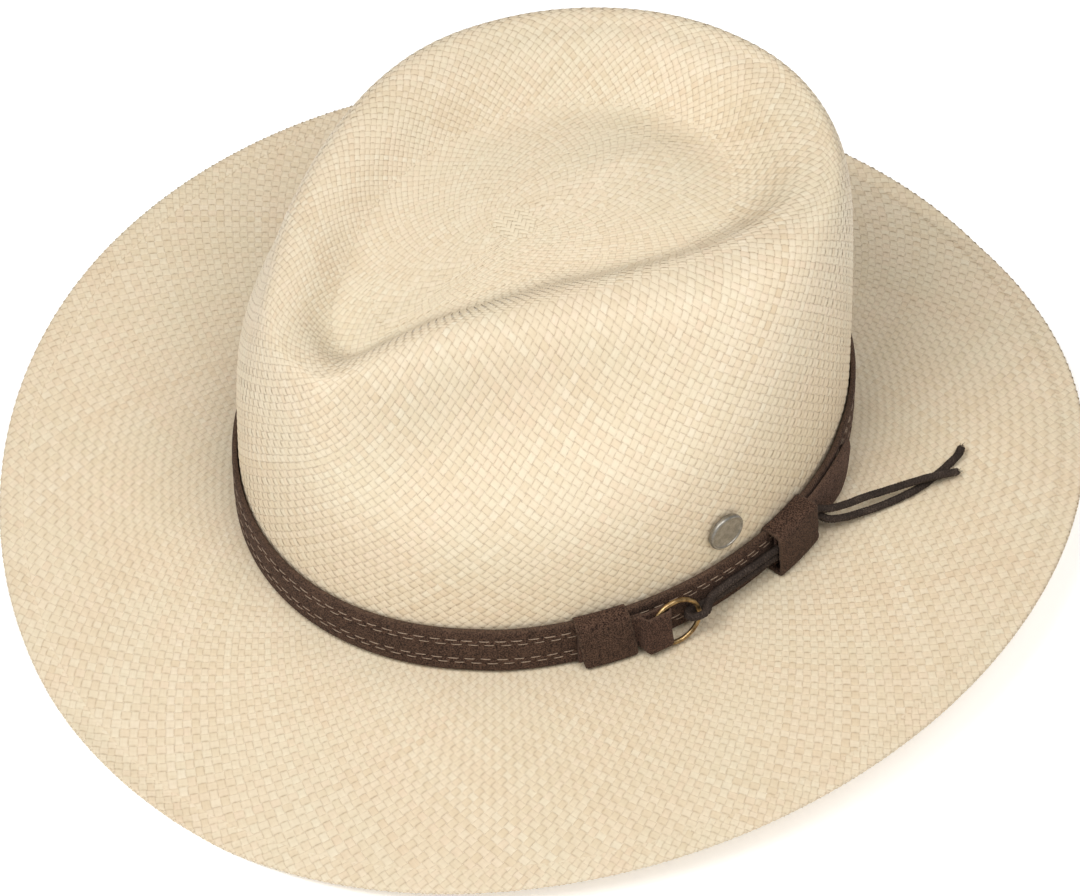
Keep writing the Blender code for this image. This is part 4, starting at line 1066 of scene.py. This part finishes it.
R = BADGE_D / 2
profile = [(0.00055, -0.0042), (0.00055, 0.0), (R - 0.0004, 0.0), (R - 0.0001, 0.0001), (R, 0.0004), (R, BADGE_T - 0.0007), (R - 0.0001, BADGE_T - 0.0003),
           (R - 0.00035, BADGE_T - 0.00005), (R - 0.0006, BADGE_T), (R - 0.00085, BADGE_T - 0.00006), (R - 0.0010, BADGE_T - 0.0003), (R - 0.0012, BADGE_T - 0.00036),
           (R - 0.0030, BADGE_T - 0.00034), (0.0004, BADGE_T - 0.00030)]
part = Parts()
v, f = lathe(profile, seat, badge_n, badge_side)
part.add(v, f)
part.make("badge", PEWTER, body="badge", replaces=["badge"], sharp=40)
v, f = lathe([(0.0008, -0.0033), (0.0036, -0.0033), (0.0042, -0.0030), (0.0042, -0.0023), (0.0039, -0.0022), (0.0008, -0.0022)], seat, badge_n, badge_side, 48)
mesh("badge_washer", v, f, PEWTER, body="badge", replaces=["badge_washer"], sharp=40)

# ================================================================ sweatband
SWEAT_H = 0.0310
face = -(STRAW_T + 0.0005)
SU = np.linspace(-PERIMETER / 2, PERIMETER / 2, 1200, endpoint=False)
rows_, ribs = [], []
hh = np.linspace(0.0006, SWEAT_H, 46)
for h in hh:
    rows_.append(on_band(SU, h, face - 0.0001 - 0.0027 * (h / SWEAT_H) ** 1.3))
    ribs.append(0.5 + 0.5 * np.cos(2 * pi * SU / 0.0014))
for h in hh[::-1]:
    rows_.append(on_band(SU, h, face - 0.0009 - 0.0027 * (h / SWEAT_H) ** 1.3 + 0.00006 * np.cos(2 * pi * SU / 0.0014)))
    ribs.append(0.5 + 0.5 * np.cos(2 * pi * SU / 0.0014))
mesh("sweatband", np.array(rows_).reshape(-1, 3), grid_quads(len(rows_), len(SU), wrap_n=True, wrap_m=True)[:, ::-1], TAPE,
     attributes={"rib": np.array(ribs).reshape(-1)}, replaces=["sweatband"])
REED = metal_material("reed_plastic", (0.60, 0.56, 0.48), (0.76, 0.72, 0.64), 0.45)
REED.node_tree.nodes["Principled BSDF"].inputs["Metallic"].default_value = 0.0
v, f, _ = tube(on_band(SU[::3], 0.0, face - 0.00045) + [0, 0, -0.0005], 0.0008, n=10, closed=True)
mesh("sweatband_reed", v, f, REED, replaces=["sweatband_reed"])
part = Parts()
n = int(PERIMETER / 0.0042)
for k in range(n):
    s = (k + 0.5) / n * PERIMETER - PERIMETER / 2 + np.linspace(-1, 1, 7) * 0.0015
    v, f, _ = tube(on_band(s, 0.0032 + RNG.normal(0, 0.00005), face - 0.0011 - 0.0003 + 0.0002 * np.abs(np.linspace(-1, 1, 7)) ** 4), 0.00020, n=6)
    part.add(v, f)
part.make("sweatband_stitches", THREAD, replaces=["sweatband_thread"])
# bow
BS0 = PERIMETER / 2
bow = Parts()
lift0 = face - 0.0012 - 0.0009 - 0.0004 - 0.00055


def ribbon(part, line, half_w, th=0.0004):
    """A narrow tape along points (s, h, off), its width up and down."""
    line = smooth_path(np.array(line), 40)
    rows_ = []
    for q in np.linspace(-1, 1, 7):
        rows_.append(on_band(BS0 + line[:, 0], line[:, 1] + q * half_w, line[:, 2] - th / 2))
    for q in np.linspace(1, -1, 7):
        rows_.append(on_band(BS0 + line[:, 0], line[:, 1] + q * half_w, line[:, 2] + th / 2))
    f = grid_quads(14, 40, wrap_m=True)
    ends = []
    for col in (0, 39):
        for i in range(6):
            q = [i * 40 + col, (i + 1) * 40 + col, (12 - i) * 40 + col, (13 - i) * 40 + col]
            ends.append(q if col == 0 else q[::-1])
    part.add(np.array(rows_), np.vstack([f, ends]), rib=0.5)


for sg in (-1, 1):
    ribbon(bow, [(0.0002 * sg, 0.0105, lift0 + 0.0002), (0.0045 * sg, 0.0112, lift0 + 0.0004), (0.0088 * sg, 0.0113, lift0 + 0.0001), (0.0104 * sg, 0.0110, lift0 - 0.0003),
                 (0.0088 * sg, 0.0106, lift0 - 0.0007), (0.0045 * sg, 0.0104, lift0 - 0.0006), (0.0002 * sg, 0.0105, lift0 - 0.0003)], 0.0019)
ribbon(bow, [(-0.0013, 0.0105, lift0), (-0.0006, 0.0105, lift0 - 0.0008), (0.0006, 0.0105, lift0 - 0.0008), (0.0013, 0.0105, lift0)], 0.0014)
bow.make("sweatband_bow", TAPE, replaces=["sweatband_bow"])

# ================================================================ stage, camera and light
TARGET = Vector((0, 0, 0.02 + 0.0197))
az, el, dist = radians(50.0), radians(48.56), 1.3984
back = Vector((sin(az) * cos(el), -cos(az) * cos(el), sin(el)))
right = Vector((cos(az), sin(az), 0))
up = back.cross(right)
roll = radians(0.45)
r2, u2 = right * cos(roll) - up * sin(roll), up * cos(roll) + right * sin(roll)
cam_data = bpy.data.cameras.new("camera")
cam = bpy.data.objects.new("camera", cam_data)
bpy.context.collection.objects.link(cam)
pos = TARGET + back * dist
cam.matrix_world = Matrix(((r2.x, u2.x, back.x, pos.x), (r2.y, u2.y, back.y, pos.y), (r2.z, u2.z, back.z, pos.z), (0, 0, 0, 1)))
cam_data.sensor_fit = "HORIZONTAL"
cam_data.sensor_width = 36.0
cam_data.lens = 4471.1 / 1080 * 36.0
cam_data.shift_x = -(545.81 - 540) / 1080
cam_data.shift_y = (389.73 - 448) / 1080
cam_data.clip_end = 20
bpy.context.scene.camera = cam

floor_mat = Nodes("floor")
floor_mat.set(floor_mat.b.inputs["Base Color"], floor_mat.ramp(floor_mat.noise(3.0, 2.0, 0.5, floor_mat.coord()), [(0.3, (0.93, 0.93, 0.93)), (0.7, (0.95, 0.95, 0.95))]))
floor_mat.b.inputs["Roughness"].default_value = 0.9
floor_mat.b.inputs["Emission Color"].default_value = (1, 1, 1, 1)
floor_mat.b.inputs["Emission Strength"].default_value = 0.30
v = np.array([[-6, -6, 0], [6, -6, 0], [6, 6, 0], [-6, 6, 0]], float)
floor = mesh("floor", v - [0, 0, 0.0004], np.array([[0, 1, 2, 3]]), floor_mat.m, smooth=False, body=None)


def lamp(name, where, size, power, target=(0, 0, 0.05), colour=(1, 1, 1)):
    d = bpy.data.lights.new(name, "AREA")
    d.shape = "DISK"
    d.size = size
    d.energy = power
    d.color = colour
    o = bpy.data.objects.new(name, d)
    bpy.context.collection.objects.link(o)
    o.location = where
    o.rotation_euler = (Vector(target) - Vector(where)).to_track_quat("-Z", "Y").to_euler()
    return o


key = lamp("key", (0.10, -1.38, 2.42), 1.3, 38)
fill = lamp("fill", (1.30, -0.20, 2.42), 1.3, 27)
world = bpy.data.worlds.new("world")
bpy.context.scene.world = world
world.use_nodes = True
world.node_tree.nodes["Background"].inputs[0].default_value = (1, 1, 1, 1)
world.node_tree.nodes["Background"].inputs[1].default_value = 0.35
bpy.context.scene.view_settings.view_transform = "Standard"
bpy.context.scene.view_settings.look = "None"
